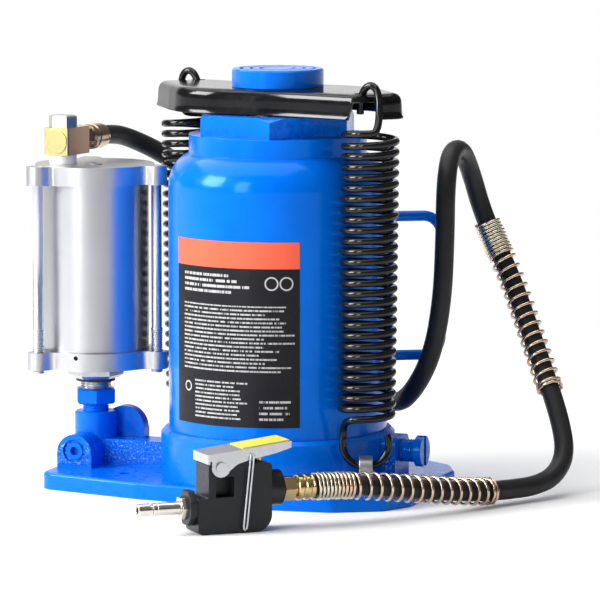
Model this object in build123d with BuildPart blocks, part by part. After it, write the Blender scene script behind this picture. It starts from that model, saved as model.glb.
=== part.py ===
"""Air over hydraulic bottle jack, in millimetres.

The origin is on the ram's axis at the bottom of the base. +Z is up, the ram's axis.
+X runs from the air motor to the release valve, and -Y is the side with the label.
"""

import os
from math import atan2, cos, degrees, pi, radians, sin, tan

from build123d import *

os.makedirs("parts", exist_ok=True)

# ---------------------------------------------------------------- driving dimensions
SLIVER = 0.05  # radial clearance of a fitted or running pair
GAP = 0.3  # clearance between pieces that move past each other

# base casting
PLATE_T = 10.2
COLLAR_R = 71.8
COLLAR_TOP = 39.8
BASE_FLOOR = 10.0
BARREL_SEAT = 16.0
PUMP_X, PUMP_Y = -125.0, 10.0
BOSS_R = 13.2
BOSS_TOP = 42.5
BLOCK_TOP = 26.0
PLUG_X, PLUG_Z = -127.0, 20.6
RELEASE_Z = 29.0
RELEASE_FACE_X = 80.5
RELEASE_R = 6.4
HOLE_R = 3.5
HOLE_X, HOLE_FRONT_Y, HOLE_BACK_Y = -89.0, -31.0, 47.0

# reservoir, ram cylinder and gland
BARREL_R = 67.0
BARREL_WALL = 4.0
SHOULDER_Z = 188.8
SHOULDER_R = 22.0
NECK_R = 54.4
NECK_TOP = 220.2
CYLINDER_R = 40.0
BORE_R = 33.0
CYLINDER_TOP = 216.0
NUT_FLATS = 89.0
NUT_TOP = 232.8
NUT_VERTEX_DEG = -75.5
RAM_R = 29.0
RAM_TOP = 245.7

# ram, extension screw and saddle
RAM_FOOT = 12.0
HEAD_TOP = 64.0
SPIGOT_R = 14.0
SCREW_R = 18.0
SCREW_FOOT = 81.7
RING_Z = 78.0
RING_T = 3.4
SADDLE_R = 28.0
SADDLE_FOOT = 249.0
SADDLE_TOP = 260.0

# spring hanger and return springs
HANGER_TOP = 248.7
HANGER_DEPTH = 15.5
HANGER_T = 3.0
SPRING_FOOT = (72.9, -45.2)  # where a spring hooks into the base, and the rear one half a turn on
SPRING_HEAD = (75.0, -42.9)  # where it hooks into the hanger
COIL_R = 15.5
WIRE_R = 2.25
COIL_FOOT, COIL_TOP = 53.0, 223.5
HOOK_REACH = 4.5
HOOK_TOP = 254.2
RING_HOOK_R = 13.8
RING_HOOK_Z = 38.6
LUG_TOP = 31.5
TURN_DEG = 20.0  # the lower hooks are turned by this about Z

# air motor
MOTOR_TUBE_R, MOTOR_BORE_R = 33.5, 30.0
CAP_R = 37.0
LOBE_R, LOBE_AT, LOBE_DEG = 6.8, 42.4, -4.0
BOLT_R = 3.8
ADAPTER_Z = 63.3
BOTTOM_CAP_Z, TUBE_Z = 71.0, 82.0
TOP_CAP_Z, MOTOR_TOP = 185.6, 197.3
PUMP_R, PUMP_NECK_R = 8.0, 10.0
PLUNGER_R = 6.0
PISTON_Z, PISTON_T = 158.0, 14.0

# air inlet of the motor
BANJO_X, BANJO_Y = -142.0, 0.0
BANJO_DEG = 83.0  # direction of the hose union, from +X
BANJO_FOOT, BANJO_TOP = 203.0, 220.0
BANJO_FRONT, BANJO_BACK = -9.0, 19.0
UNION_END, FERRULE_END = 26.0, 48.0
HOSE_Z = 211.5

# hose and guards
HOSE_R = 6.0
GUARD_R, GUARD_BORE_R = 8.75, 6.4

# trigger valve: local x along its body, local y up, z towards the label side
VALVE_DEG = 42.0
VALVE_ORIGIN = (46.0, -135.0, 0.0)
VALVE_HALF = 10.5
OUTLET_Z = 23.2
INLET_Z = 15.3
OUTLET_END = 25.5
PIVOT_X, PIVOT_Z = -36.3, 39.4
BUTTON_X = -9.0
BAIL_X, BAIL_Z = -22.1, 2.3

turned_by = radians(TURN_DEG)
valve_turn = radians(VALVE_DEG)
valve_plane = Plane(
    origin=VALVE_ORIGIN,
    x_dir=(cos(valve_turn), sin(valve_turn), 0),
    z_dir=(sin(valve_turn), -cos(valve_turn), 0),
)
pump_axis = Plane(origin=(PUMP_X, PUMP_Y, 0))
pieces = {}


def ring(outer, inner, low, high, centre=(0, 0)):
    """A plain ring about a vertical axis."""
    with BuildPart() as made:
        with BuildSketch(Plane.XY.offset(low)):
            with Locations(centre):
                Circle(outer)
                Circle(inner, mode=Mode.SUBTRACT)
        extrude(amount=high - low)
    return made


def turned(plane, start, steps, bore=0.0):
    """A turned piece along a plane's normal: steps are (radius, end) from start on."""
    with BuildPart() as made:
        low = start
        for radius, high in steps:
            with BuildSketch(plane.offset(low)):
                Circle(radius)
            extrude(amount=high - low)
            low = high
        if bore:
            with BuildSketch(plane.offset(start)):
                Circle(bore)
            extrude(amount=low - start, mode=Mode.SUBTRACT)
    return made


# ---------------------------------------------------------------- base casting
PLATE_OUTLINE = [
    (-140, -45), (-70, -63), (20, -76), (60, -72), (88, -56), (98, -34),
    (98, 50), (88, 72), (62, 91), (20, 94), (-70, 78), (-143, 52),
]

with BuildPart() as base_casting:
    with BuildSketch():
        with BuildLine():
            FilletPolyline(*PLATE_OUTLINE, radius=12, close=True)
        make_face()
    extrude(amount=PLATE_T)
    rim = base_casting.faces().sort_by(Axis.Z)[-1].outer_wire().edges()
    fillet(rim, radius=2)
    with BuildSketch(Plane.XY.offset(PLATE_T - 1)):
        Circle(COLLAR_R)
    extrude(amount=COLLAR_TOP - PLATE_T + 1)
    chamfer(base_casting.faces().sort_by(Axis.Z)[-1].edges(), length=2.4)
    with BuildSketch(Plane.XY.offset(PLATE_T - 1)):
        with Locations((PUMP_X / 2 - 30, PUMP_Y + 0.5)):
            Rectangle(-PUMP_X - 60, 21)
    extrude(amount=BLOCK_TOP - PLATE_T + 1)
    with BuildSketch(Plane.XY.offset(PLATE_T - 1)):
        with Locations((PUMP_X, PUMP_Y)):
            Circle(BOSS_R)
    extrude(amount=BOSS_TOP - PLATE_T + 1)
    chamfer(base_casting.faces().sort_by(Axis.Z)[-1].edges(), length=1)
    # boss for the pressure plug, a half round block across the pump
    with BuildSketch(Plane.XZ.offset(21)):
        with Locations((PLUG_X, PLUG_Z - 1.2)):
            Circle(11.4)
        with Locations((PLUG_X, (PLATE_T + PLUG_Z) / 2 - 1.2)):
            Rectangle(22.8, PLUG_Z - PLATE_T + 1.6)
    extrude(amount=-31)
    with BuildSketch(Plane.XZ.offset(21)):
        with Locations((PLUG_X, PLUG_Z)):
            Circle(7.4)
    extrude(amount=-1.6, mode=Mode.SUBTRACT)
    # cast ear behind the pump
    with BuildSketch(Plane.XZ.offset(-25)):
        with Locations((-109, 31.5)):
            Circle(13.5)
        with Locations((-109, 20)):
            Rectangle(28, 24)
    extrude(amount=8)
    # release valve block on the collar
    with BuildSketch(Plane.YZ.offset(58)):
        with Locations((0, 23.5)):
            RectangleRounded(26, 29, 5)
        with Locations((0, 14)):
            Rectangle(26, 10)
    extrude(amount=RELEASE_FACE_X - 58)
    # hollow for the barrel, seat of the ram cylinder and the oil passages
    with BuildSketch(Plane.XY.offset(BARREL_SEAT)):
        Circle(BARREL_R + SLIVER)
    extrude(amount=COLLAR_TOP, mode=Mode.SUBTRACT)
    with BuildSketch(Plane.XY.offset(BASE_FLOOR)):
        Circle(CYLINDER_R + SLIVER)
    extrude(amount=BARREL_SEAT, mode=Mode.SUBTRACT)
    with BuildSketch(Plane.XY.offset(12)):
        with Locations((PUMP_X, PUMP_Y)):
            Circle(PUMP_R + SLIVER)
    extrude(amount=BOSS_TOP, mode=Mode.SUBTRACT)
    with BuildSketch(Plane.XZ.offset(21)):
        with Locations((PLUG_X, PLUG_Z)):
            Circle(5.4)
    extrude(amount=-16, mode=Mode.SUBTRACT)
    with BuildSketch(Plane.YZ.offset(RELEASE_FACE_X)):
        with Locations((0, RELEASE_Z)):
            Circle(RELEASE_R + SLIVER)
    extrude(amount=-13, mode=Mode.SUBTRACT)
    with BuildSketch(Plane.XY):
        with Locations((HOLE_X, HOLE_FRONT_Y), (HOLE_X, HOLE_BACK_Y)):
            Circle(HOLE_R)
    extrude(amount=PLATE_T, mode=Mode.SUBTRACT)
pieces["base_casting"] = base_casting

# ---------------------------------------------------------------- reservoir and gland
with BuildPart() as reservoir_barrel:
    with BuildSketch(Plane.XZ):
        with BuildLine():
            outer = Line((BARREL_R, BARREL_SEAT), (BARREL_R, SHOULDER_Z))
            bend = CenterArc((BARREL_R - SHOULDER_R, SHOULDER_Z), SHOULDER_R, 0, 63)
            neck_foot = (NECK_R, (bend @ 1).Y + 0.2)
            Polyline(bend @ 1, neck_foot, (NECK_R, NECK_TOP), (44.55, NECK_TOP), (44.55, 206))
            inner_r = SHOULDER_R - BARREL_WALL
            Line((44.55, 206), (BARREL_R - SHOULDER_R, SHOULDER_Z + inner_r))
            CenterArc((BARREL_R - SHOULDER_R, SHOULDER_Z), inner_r, 90, -90)
            Polyline(
                (BARREL_R - BARREL_WALL, SHOULDER_Z),
                (BARREL_R - BARREL_WALL, BARREL_SEAT),
                (BARREL_R, BARREL_SEAT),
            )
        make_face()
    revolve(axis=Axis.Z)
    with BuildSketch(Plane.XZ):
        with Locations((0, 180)):
            Circle(5)
    extrude(amount=-80, mode=Mode.SUBTRACT)
pieces["reservoir_barrel"] = reservoir_barrel

with BuildPart() as filler_plug:
    with BuildSketch(Plane.XZ.offset(-62)):
        with Locations((0, 180)):
            Circle(5 - SLIVER)
    extrude(amount=-6)
    with BuildSketch(Plane.XZ.offset(-BARREL_R - SLIVER)):
        with Locations((0, 180)):
            Circle(8)
    extrude(amount=-3.5)
    fillet(filler_plug.faces().sort_by(Axis.Y)[-1].edges(), radius=1.5)
pieces["filler_plug"] = filler_plug

pieces["barrel_seal"] = ring(BARREL_R - BARREL_WALL - SLIVER, 60, BARREL_SEAT, BARREL_SEAT + 4)
pieces["ram_cylinder"] = ring(CYLINDER_R, BORE_R, BASE_FLOOR, CYLINDER_TOP)

with BuildPart() as gland_nut:
    with BuildSketch(Plane.XY.offset(NECK_TOP)):
        RegularPolygon(NUT_FLATS / 2, 6, major_radius=False, rotation=NUT_VERTEX_DEG)
    extrude(amount=NUT_TOP - NECK_TOP)
    # the chamfer that turning leaves on the six corners
    with BuildSketch(Plane.XZ):
        with BuildLine():
            Polyline((40, NUT_TOP + 4), (47, NUT_TOP), (60, NUT_TOP - 7.5), (60, NUT_TOP + 4), close=True)
        make_face()
    revolve(axis=Axis.Z, mode=Mode.SUBTRACT)
    with BuildSketch(Plane.XY.offset(200)):
        Circle(44.5)
    extrude(amount=NECK_TOP - 200)
    for radius, low, high in (
        (CYLINDER_R + SLIVER, 200, CYLINDER_TOP),
        (RAM_R + SLIVER, CYLINDER_TOP, NUT_TOP),
        (33, 219, 224),
        (32.5, 227, 230),
    ):
        with BuildSketch(Plane.XY.offset(low)):
            Circle(radius)
        extrude(amount=high - low, mode=Mode.SUBTRACT)
pieces["gland_nut"] = gland_nut

with BuildPart() as gland_seals:
    for radius, low, high in ((33, 219, 224), (32.5, 227, 230)):
        with BuildSketch(Plane.XY.offset(low)):
            Circle(radius)
            Circle(RAM_R + SLIVER, mode=Mode.SUBTRACT)
        extrude(amount=high - low)
pieces["gland_seals"] = gland_seals

# label on the barrel: a dark field with an orange band over it
LABEL_T = 0.25
LABEL_FROM, LABEL_TO = -133.0, -58.5
for name, low, high in (("label_field", 48, 144), ("label_band", 144, 160)):
    with BuildPart() as label:
        with BuildSketch(Plane.XY.offset(low)):
            with BuildLine():
                span = LABEL_TO - LABEL_FROM
                inside = CenterArc((0, 0), BARREL_R, LABEL_FROM, span)
                outside = CenterArc((0, 0), BARREL_R + LABEL_T, LABEL_FROM, span)
                Line(inside @ 0, outside @ 0)
                Line(inside @ 1, outside @ 1)
            make_face()
        extrude(amount=high - low)
    pieces[name] = label

# ---------------------------------------------------------------- carry handle
HANDLE_R, HANDLE_REACH, HANDLE_LOW, HANDLE_HIGH = 3.25, 101.7, 82.0, 168.0
handle_plane = Plane.XZ.rotated((0, 0, 30))
with BuildPart() as carry_handle:
    with BuildLine(handle_plane):
        bar = FilletPolyline(
            (60, HANDLE_LOW), (HANDLE_REACH, HANDLE_LOW), (HANDLE_REACH, HANDLE_HIGH), (60, HANDLE_HIGH),
            radius=11,
        )
    with BuildSketch(Plane(origin=bar @ 0, z_dir=bar % 0)):
        Circle(HANDLE_R)
    sweep()
    with BuildSketch(Plane.XY.offset(HANDLE_LOW - 10)):
        Circle(BARREL_R)
    extrude(amount=HANDLE_HIGH - HANDLE_LOW + 20, mode=Mode.SUBTRACT)
pieces["carry_handle"] = carry_handle

# ---------------------------------------------------------------- ram and piston
with BuildPart() as ram_rod:
    with BuildSketch(Plane.XY.offset(RAM_FOOT)):
        Circle(SPIGOT_R)
    extrude(amount=HEAD_TOP - RAM_FOOT)
    with BuildSketch(Plane.XY.offset(HEAD_TOP)):
        Circle(RAM_R)
    extrude(amount=RAM_TOP - HEAD_TOP)
    with BuildSketch(Plane.XY.offset(RING_Z - 6)):
        Circle(SCREW_R + SLIVER)
    extrude(amount=RAM_TOP, mode=Mode.SUBTRACT)
    fillet(ram_rod.edges().filter_by(GeomType.CIRCLE).group_by(Axis.Z)[-1], radius=0.8)
pieces["ram_rod"] = ram_rod
pieces["piston_head"] = ring(BORE_R - SLIVER, SPIGOT_R, 20, HEAD_TOP)
pieces["piston_cup"] = ring(BORE_R - SLIVER, SPIGOT_R, 13, 20)

# ---------------------------------------------------------------- extension screw
pieces["screw_stop_ring"] = ring(SCREW_R - SLIVER, 13.05, RING_Z, RING_Z + RING_T)
pieces["extension_screw"] = turned(
    Plane.XY,
    RING_Z - 4,
    [(15, RING_Z - GAP), (13, SCREW_FOOT), (SCREW_R - SLIVER, SADDLE_FOOT), (10, SADDLE_FOOT + 6)],
)

with BuildPart() as saddle:
    with BuildSketch(Plane.XY.offset(SADDLE_FOOT)):
        Circle(SADDLE_R)
    extrude(amount=SADDLE_TOP - SADDLE_FOOT)
    chamfer(saddle.faces().sort_by(Axis.Z)[-1].edges(), length=0.9)
    with BuildSketch(Plane.XY.offset(SADDLE_TOP)):
        for groove in (23.5, 17.5, 11.5):
            Circle(groove)
            Circle(groove - 2, mode=Mode.SUBTRACT)
    extrude(amount=-0.8, mode=Mode.SUBTRACT)
    with BuildSketch(Plane.XY.offset(SADDLE_FOOT)):
        Circle(10)
    extrude(amount=6, mode=Mode.SUBTRACT)
pieces["saddle"] = saddle

# ---------------------------------------------------------------- spring hanger
# half of the outline, from one end's corner round to the other's: a half turn gives the rest
HANGER_HALF = [(67.5, -51), (14, -34), (-36, -31), (-56, -23), (-70, -4), (-92, 27)]
HANGER_OUTLINE = HANGER_HALF + [(-x, -y) for x, y in HANGER_HALF]
HOLE_OFF = Vector(-8.1, 4.6)  # from a spring's head to its hole in the hanger
END_DEG = degrees(atan2(27 - 51, -92 + 67.5)) + 180  # direction of the hanger's end edge

with BuildPart() as spring_hanger:
    with BuildSketch(Plane.XY.offset(HANGER_TOP - HANGER_DEPTH)):
        with BuildLine():
            FilletPolyline(*HANGER_OUTLINE, radius=8, close=True)
        make_face()
    extrude(amount=HANGER_DEPTH)
    fillet(spring_hanger.faces().sort_by(Axis.Z)[-1].edges(), radius=3.5)
    with BuildSketch(Plane.XY.offset(HANGER_TOP - HANGER_DEPTH)):
        with BuildLine():
            FilletPolyline(*HANGER_OUTLINE, radius=8, close=True)
        make_face()
        offset(amount=-HANGER_T, mode=Mode.REPLACE)
    extrude(amount=HANGER_DEPTH - HANGER_T, mode=Mode.SUBTRACT)
    # the channel is open at both ends, under the springs
    for side in (1, -1):
        with BuildSketch(Plane.XY.offset(HANGER_TOP - HANGER_DEPTH)):
            with Locations(Location((side * 82, side * -41, 0), (0, 0, END_DEG))):
                Rectangle(27, 22)
        extrude(amount=HANGER_DEPTH - HANGER_T, mode=Mode.SUBTRACT)
        with BuildSketch(Plane.XY.offset(HANGER_TOP)):
            with Locations((Vector(*SPRING_HEAD) + HOLE_OFF) * side):
                Circle(4.2)
        extrude(amount=-HANGER_DEPTH, mode=Mode.SUBTRACT)
    with BuildSketch(Plane.XY.offset(HANGER_TOP)):
        Circle(21)
    extrude(amount=-HANGER_DEPTH, mode=Mode.SUBTRACT)
pieces["spring_hanger"] = spring_hanger

# ---------------------------------------------------------------- return springs
for name, side in (("return_spring_front", 1), ("return_spring_rear", -1)):
    foot, head = Vector(*SPRING_FOOT) * side, Vector(*SPRING_HEAD) * side
    lean = Vector(0, 0, HOOK_TOP - RING_HOOK_Z) + head - foot
    hole = HOLE_OFF.normalized() * side
    hook_plane = Plane(origin=head, x_dir=-hole, z_dir=(-hole.Y, hole.X, 0))
    ring_plane = Plane(
        origin=(foot.X, foot.Y, RING_HOOK_Z),
        x_dir=(side * cos(turned_by), side * sin(turned_by), 0),
        z_dir=(side * sin(turned_by), -side * cos(turned_by), 0),
    )
    with BuildPart() as spring:
        with BuildSketch(Plane.XY.offset(COIL_FOOT)):
            with Locations(foot + lean * ((COIL_FOOT - RING_HOOK_Z) / lean.Z) - Vector(0, 0, COIL_FOOT)):
                Circle(COIL_R + WIRE_R)
                Circle(COIL_R - WIRE_R, mode=Mode.SUBTRACT)
        extrude(amount=(COIL_TOP - COIL_FOOT) * lean.length / lean.Z, dir=lean.normalized())
        with BuildLine(hook_plane):
            hook = FilletPolyline(
                (COIL_R, COIL_TOP - 2), (HOOK_REACH, COIL_TOP + 11), (HOOK_REACH, HOOK_TOP),
                (-9.3, HOOK_TOP), (-9.3, 236),
                radius=6.5,
            )
        with BuildSketch(Plane(origin=hook @ 0, z_dir=hook % 0)):
            Circle(WIRE_R)
        sweep()
        with BuildLine(ring_plane):
            loop = CenterArc((0, 0), RING_HOOK_R, 118, 267)
        with BuildSketch(Plane(origin=loop @ 0, z_dir=loop % 0)):
            Circle(WIRE_R)
        sweep(path=loop)
    pieces[name] = spring

with BuildPart() as spring_lugs:
    for side in (1, -1):
        lug_plane = Plane(
            origin=(side * SPRING_FOOT[0], side * SPRING_FOOT[1], 0),
            x_dir=(side * -sin(turned_by), side * cos(turned_by), 0),
            z_dir=(side * cos(turned_by), side * sin(turned_by), 0),
        )
        with BuildSketch(lug_plane.offset(-4)):
            with Locations((0, (PLATE_T + LUG_TOP - 7) / 2)):
                Rectangle(14, LUG_TOP - 7 - PLATE_T)
            with Locations((0, LUG_TOP - 7)):
                Circle(7)
            with Locations((0, RING_HOOK_Z - RING_HOOK_R)):
                Circle(3.1, mode=Mode.SUBTRACT)
        extrude(amount=8)
pieces["spring_lugs"] = spring_lugs

# ---------------------------------------------------------------- plugs and check valves
with BuildPart() as socket_plug:
    with BuildSketch(Plane.XZ.offset(20.6)):
        with Locations((PLUG_X, PLUG_Z)):
            Circle(5.4 - SLIVER)
    extrude(amount=-5)
    with BuildSketch(Plane.XZ.offset(20.6)):
        with Locations((PLUG_X, PLUG_Z)):
            RegularPolygon(2.6, 6, major_radius=False)
    extrude(amount=-4, mode=Mode.SUBTRACT)
pieces["socket_plug"] = socket_plug

with BuildPart() as check_balls:
    with Locations((PLUG_X, -7.8, PLUG_Z)):
        Sphere(2.6)
    with Locations((PUMP_X, PUMP_Y, 15.5)):
        Sphere(3)
pieces["check_balls"] = check_balls

with BuildPart() as check_spring:
    with BuildSketch(Plane.XZ.offset(15.6)):
        with Locations((PLUG_X, PLUG_Z)):
            Circle(2.4)
            Circle(1.6, mode=Mode.SUBTRACT)
    extrude(amount=-3.8)
pieces["check_spring"] = check_spring

with BuildPart() as release_ball:
    with Locations((RELEASE_FACE_X - 10, 0, RELEASE_Z)):
        Sphere(2.6)
pieces["release_ball"] = release_ball

with BuildPart() as release_valve:
    low = RELEASE_FACE_X - 6
    for radius, high in ((RELEASE_R, 90.5), (9.5, 95.3)):
        with BuildSketch(Plane.YZ.offset(low)):
            with Locations((0, RELEASE_Z)):
                Circle(radius)
        extrude(amount=high - low)
        low = high
    with BuildSketch(Plane.YZ.offset(95.3)):
        with Locations((0, RELEASE_Z)):
            Rectangle(4.5, 20)
    extrude(amount=-3.6, mode=Mode.SUBTRACT)
pieces["release_valve"] = release_valve

# ---------------------------------------------------------------- pump and air motor
with BuildPart() as pump_barrel:
    for radius, low, high in ((PUMP_R, 12, 57), (PUMP_NECK_R, 57, 78)):
        with BuildSketch(pump_axis.offset(low)):
            Circle(radius)
        extrude(amount=high - low)
    for radius, low, high in ((4, 12, 20), (PLUNGER_R + SLIVER, 20, 78), (8.5, 72, 76)):
        with BuildSketch(pump_axis.offset(low)):
            Circle(radius)
        extrude(amount=high - low, mode=Mode.SUBTRACT)
pieces["pump_barrel"] = pump_barrel
pieces["plunger_seal"] = ring(8.5, PLUNGER_R + SLIVER, 72, 76, (PUMP_X, PUMP_Y))
pieces["motor_seal_ring"] = ring(12.3, PUMP_NECK_R + SLIVER, 61.3, ADAPTER_Z, (PUMP_X, PUMP_Y))

with BuildPart() as lock_nut:
    with BuildSketch(pump_axis.offset(47)):
        RegularPolygon(13.6, 6, rotation=-65)
        Circle(PUMP_R + SLIVER, mode=Mode.SUBTRACT)
    extrude(amount=10)
    for face in (lock_nut.faces().sort_by(Axis.Z)[-1], lock_nut.faces().sort_by(Axis.Z)[0]):
        chamfer(face.outer_wire().edges(), length=0.9, length2=1.6)
pieces["lock_nut"] = lock_nut

with BuildPart() as motor_adapter:
    with BuildSketch(pump_axis.offset(ADAPTER_Z)):
        RegularPolygon(17.6, 6, rotation=-38)
    extrude(amount=BOTTOM_CAP_Z - ADAPTER_Z)
    chamfer(motor_adapter.faces().sort_by(Axis.Z)[0].edges(), length=2)
    with BuildSketch(pump_axis.offset(BOTTOM_CAP_Z)):
        Circle(14)
    extrude(amount=7)
    with BuildSketch(pump_axis.offset(ADAPTER_Z)):
        Circle(PUMP_NECK_R + SLIVER)
    extrude(amount=20, mode=Mode.SUBTRACT)
pieces["motor_adapter"] = motor_adapter


def cap_profile():
    """A round end cap with three lobes for the tie bolts, as a sketch."""
    with BuildSketch() as cap:
        Circle(CAP_R)
        with PolarLocations(LOBE_AT, 3, LOBE_DEG):
            Circle(LOBE_R)
        with PolarLocations(LOBE_AT - 5, 3, LOBE_DEG):
            Rectangle(10, 2 * LOBE_R)
        fillet(cap.vertices(), radius=4)
        with PolarLocations(LOBE_AT, 3, LOBE_DEG):
            Circle(BOLT_R + SLIVER, mode=Mode.SUBTRACT)
    return cap.sketch


with BuildPart() as motor_bottom_cap:
    with BuildSketch(pump_axis.offset(BOTTOM_CAP_Z)):
        add(cap_profile())
    extrude(amount=TUBE_Z - BOTTOM_CAP_Z)
    with BuildSketch(pump_axis.offset(TUBE_Z)):
        Circle(MOTOR_BORE_R - SLIVER)
    extrude(amount=5)
    for radius, low, high in ((14 + SLIVER, BOTTOM_CAP_Z, 78), (7.5, 78, 90)):
        with BuildSketch(pump_axis.offset(low)):
            Circle(radius)
        extrude(amount=high - low, mode=Mode.SUBTRACT)
    with BuildSketch(pump_axis.offset(TUBE_Z + 1.6)):
        Circle(MOTOR_BORE_R)
        Circle(28, mode=Mode.SUBTRACT)
    extrude(amount=1.8, mode=Mode.SUBTRACT)
    with BuildSketch(Plane.XZ.offset(-PUMP_Y + CAP_R + 1)):
        with Locations((PUMP_X + 2, TUBE_Z - 2.6)):
            Circle(1.4)
    extrude(amount=-12, mode=Mode.SUBTRACT)
pieces["motor_bottom_cap"] = motor_bottom_cap

with BuildPart() as motor_top_cap:
    with BuildSketch(pump_axis.offset(TOP_CAP_Z)):
        add(cap_profile())
    extrude(amount=MOTOR_TOP - TOP_CAP_Z)
    with BuildSketch(pump_axis.offset(TOP_CAP_Z - 5)):
        Circle(MOTOR_BORE_R - SLIVER)
    extrude(amount=5)
    with BuildSketch(pump_axis.offset(TOP_CAP_Z - 3.4)):
        Circle(MOTOR_BORE_R)
        Circle(28, mode=Mode.SUBTRACT)
    extrude(amount=1.8, mode=Mode.SUBTRACT)
    with BuildSketch(Plane.XY.offset(MOTOR_TOP)):
        with Locations((BANJO_X, BANJO_Y)):
            Circle(4.5 + SLIVER)
    extrude(amount=-10, mode=Mode.SUBTRACT)
    with BuildSketch(Plane.XY.offset(MOTOR_TOP)):
        with Locations((PUMP_X + 4, PUMP_Y - 8)):
            Circle(4)
    extrude(amount=-4, mode=Mode.SUBTRACT)
pieces["motor_top_cap"] = motor_top_cap

with BuildPart() as cap_plug:
    with BuildSketch(Plane.XY.offset(MOTOR_TOP - 4)):
        with Locations((PUMP_X + 4, PUMP_Y - 8)):
            Circle(4 - SLIVER)
    extrude(amount=4.6)
    with BuildSketch(Plane.XY.offset(MOTOR_TOP + 0.6)):
        with Locations((PUMP_X + 4, PUMP_Y - 8)):
            RegularPolygon(2, 6, major_radius=False)
    extrude(amount=-3, mode=Mode.SUBTRACT)
pieces["cap_plug"] = cap_plug

pieces["motor_tube"] = ring(MOTOR_TUBE_R, MOTOR_BORE_R, TUBE_Z, TOP_CAP_Z, (PUMP_X, PUMP_Y))

with BuildPart() as tube_seals:
    for low in (TUBE_Z + 1.6, TOP_CAP_Z - 3.4):
        with BuildSketch(pump_axis.offset(low)):
            Circle(MOTOR_BORE_R)
            Circle(28, mode=Mode.SUBTRACT)
        extrude(amount=1.8)
pieces["tube_seals"] = tube_seals

with BuildPart() as tie_bolts:
    with BuildSketch(pump_axis.offset(BOTTOM_CAP_Z - 2.4)):
        with PolarLocations(LOBE_AT, 3, LOBE_DEG):
            Circle(BOLT_R)
    extrude(amount=MOTOR_TOP - BOTTOM_CAP_Z + 2.4)
    chamfer(tie_bolts.edges().filter_by(GeomType.CIRCLE), length=0.6)
pieces["tie_bolts"] = tie_bolts

with BuildPart() as air_piston:
    with BuildSketch(pump_axis.offset(PISTON_Z)):
        Circle(MOTOR_BORE_R - SLIVER)
    extrude(amount=PISTON_T)
    with BuildSketch(pump_axis.offset(PISTON_Z + 5)):
        Circle(MOTOR_BORE_R)
        Circle(26, mode=Mode.SUBTRACT)
    extrude(amount=4, mode=Mode.SUBTRACT)
    with BuildSketch(pump_axis.offset(PISTON_Z)):
        Circle(PLUNGER_R)
    extrude(amount=8, mode=Mode.SUBTRACT)
pieces["air_piston"] = air_piston
pieces["piston_ring"] = ring(MOTOR_BORE_R - SLIVER, 26, PISTON_Z + 5, PISTON_Z + 9, (PUMP_X, PUMP_Y))
pieces["pump_plunger"] = turned(pump_axis, 40, [(PLUNGER_R, PISTON_Z + 8)])
pieces["motor_return_spring"] = ring(16, 12.5, TUBE_Z + 5, PISTON_Z - GAP, (PUMP_X, PUMP_Y))

# ---------------------------------------------------------------- air inlet union
away = radians(BANJO_DEG)
union_plane = Plane(
    origin=(BANJO_X, BANJO_Y, HOSE_Z), x_dir=(sin(away), -cos(away), 0), z_dir=(cos(away), sin(away), 0)
)
banjo_axis = Plane(origin=(BANJO_X, BANJO_Y, 0))

pieces["banjo_washer"] = ring(8.4, 4.55, MOTOR_TOP, BANJO_FOOT, (BANJO_X, BANJO_Y))
with BuildPart() as banjo_block:
    with BuildSketch(union_plane.offset(BANJO_FRONT)):
        Rectangle(17, 2 * (BANJO_TOP - HOSE_Z))
    extrude(amount=BANJO_BACK - BANJO_FRONT)
    fillet(banjo_block.edges().filter_by(Axis.Z), radius=1.2)
    with BuildSketch(union_plane.offset(BANJO_FRONT - 0.8)):
        Circle(7.75)
    extrude(amount=0.8)
    with BuildSketch(banjo_axis.offset(BANJO_FOOT - 1)):
        Circle(4.5 + SLIVER)
    extrude(amount=20, mode=Mode.SUBTRACT)
    with BuildSketch(union_plane.offset(BANJO_BACK)):
        Circle(3)
    extrude(amount=-16, mode=Mode.SUBTRACT)
pieces["banjo_block"] = banjo_block

with BuildPart() as banjo_bolt:
    with BuildSketch(banjo_axis.offset(MOTOR_TOP - 9)):
        Circle(4.5)
    extrude(amount=BANJO_TOP - MOTOR_TOP + 9)
    with BuildSketch(banjo_axis.offset(BANJO_TOP)):
        RegularPolygon(9, 6, rotation=-53)
    extrude(amount=7.5)
    chamfer(banjo_bolt.faces().sort_by(Axis.Z)[-1].edges(), length=0.8)
pieces["banjo_bolt"] = banjo_bolt

with BuildPart() as hose_nut:
    with BuildSketch(union_plane.offset(BANJO_BACK)):
        RegularPolygon(8.6, 6, rotation=15)
        Circle(3, mode=Mode.SUBTRACT)
    extrude(amount=UNION_END - BANJO_BACK)
pieces["hose_nut"] = hose_nut

with BuildPart() as hose_ferrule:
    low = UNION_END
    for radius, high in ((6.4, 29), (8, 36), (7.5, 39), (8, 44), (7.4, FERRULE_END)):
        with BuildSketch(union_plane.offset(low)):
            Circle(radius)
            Circle(3, mode=Mode.SUBTRACT)
        extrude(amount=high - low)
        low = high
pieces["hose_ferrule"] = hose_ferrule

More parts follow.
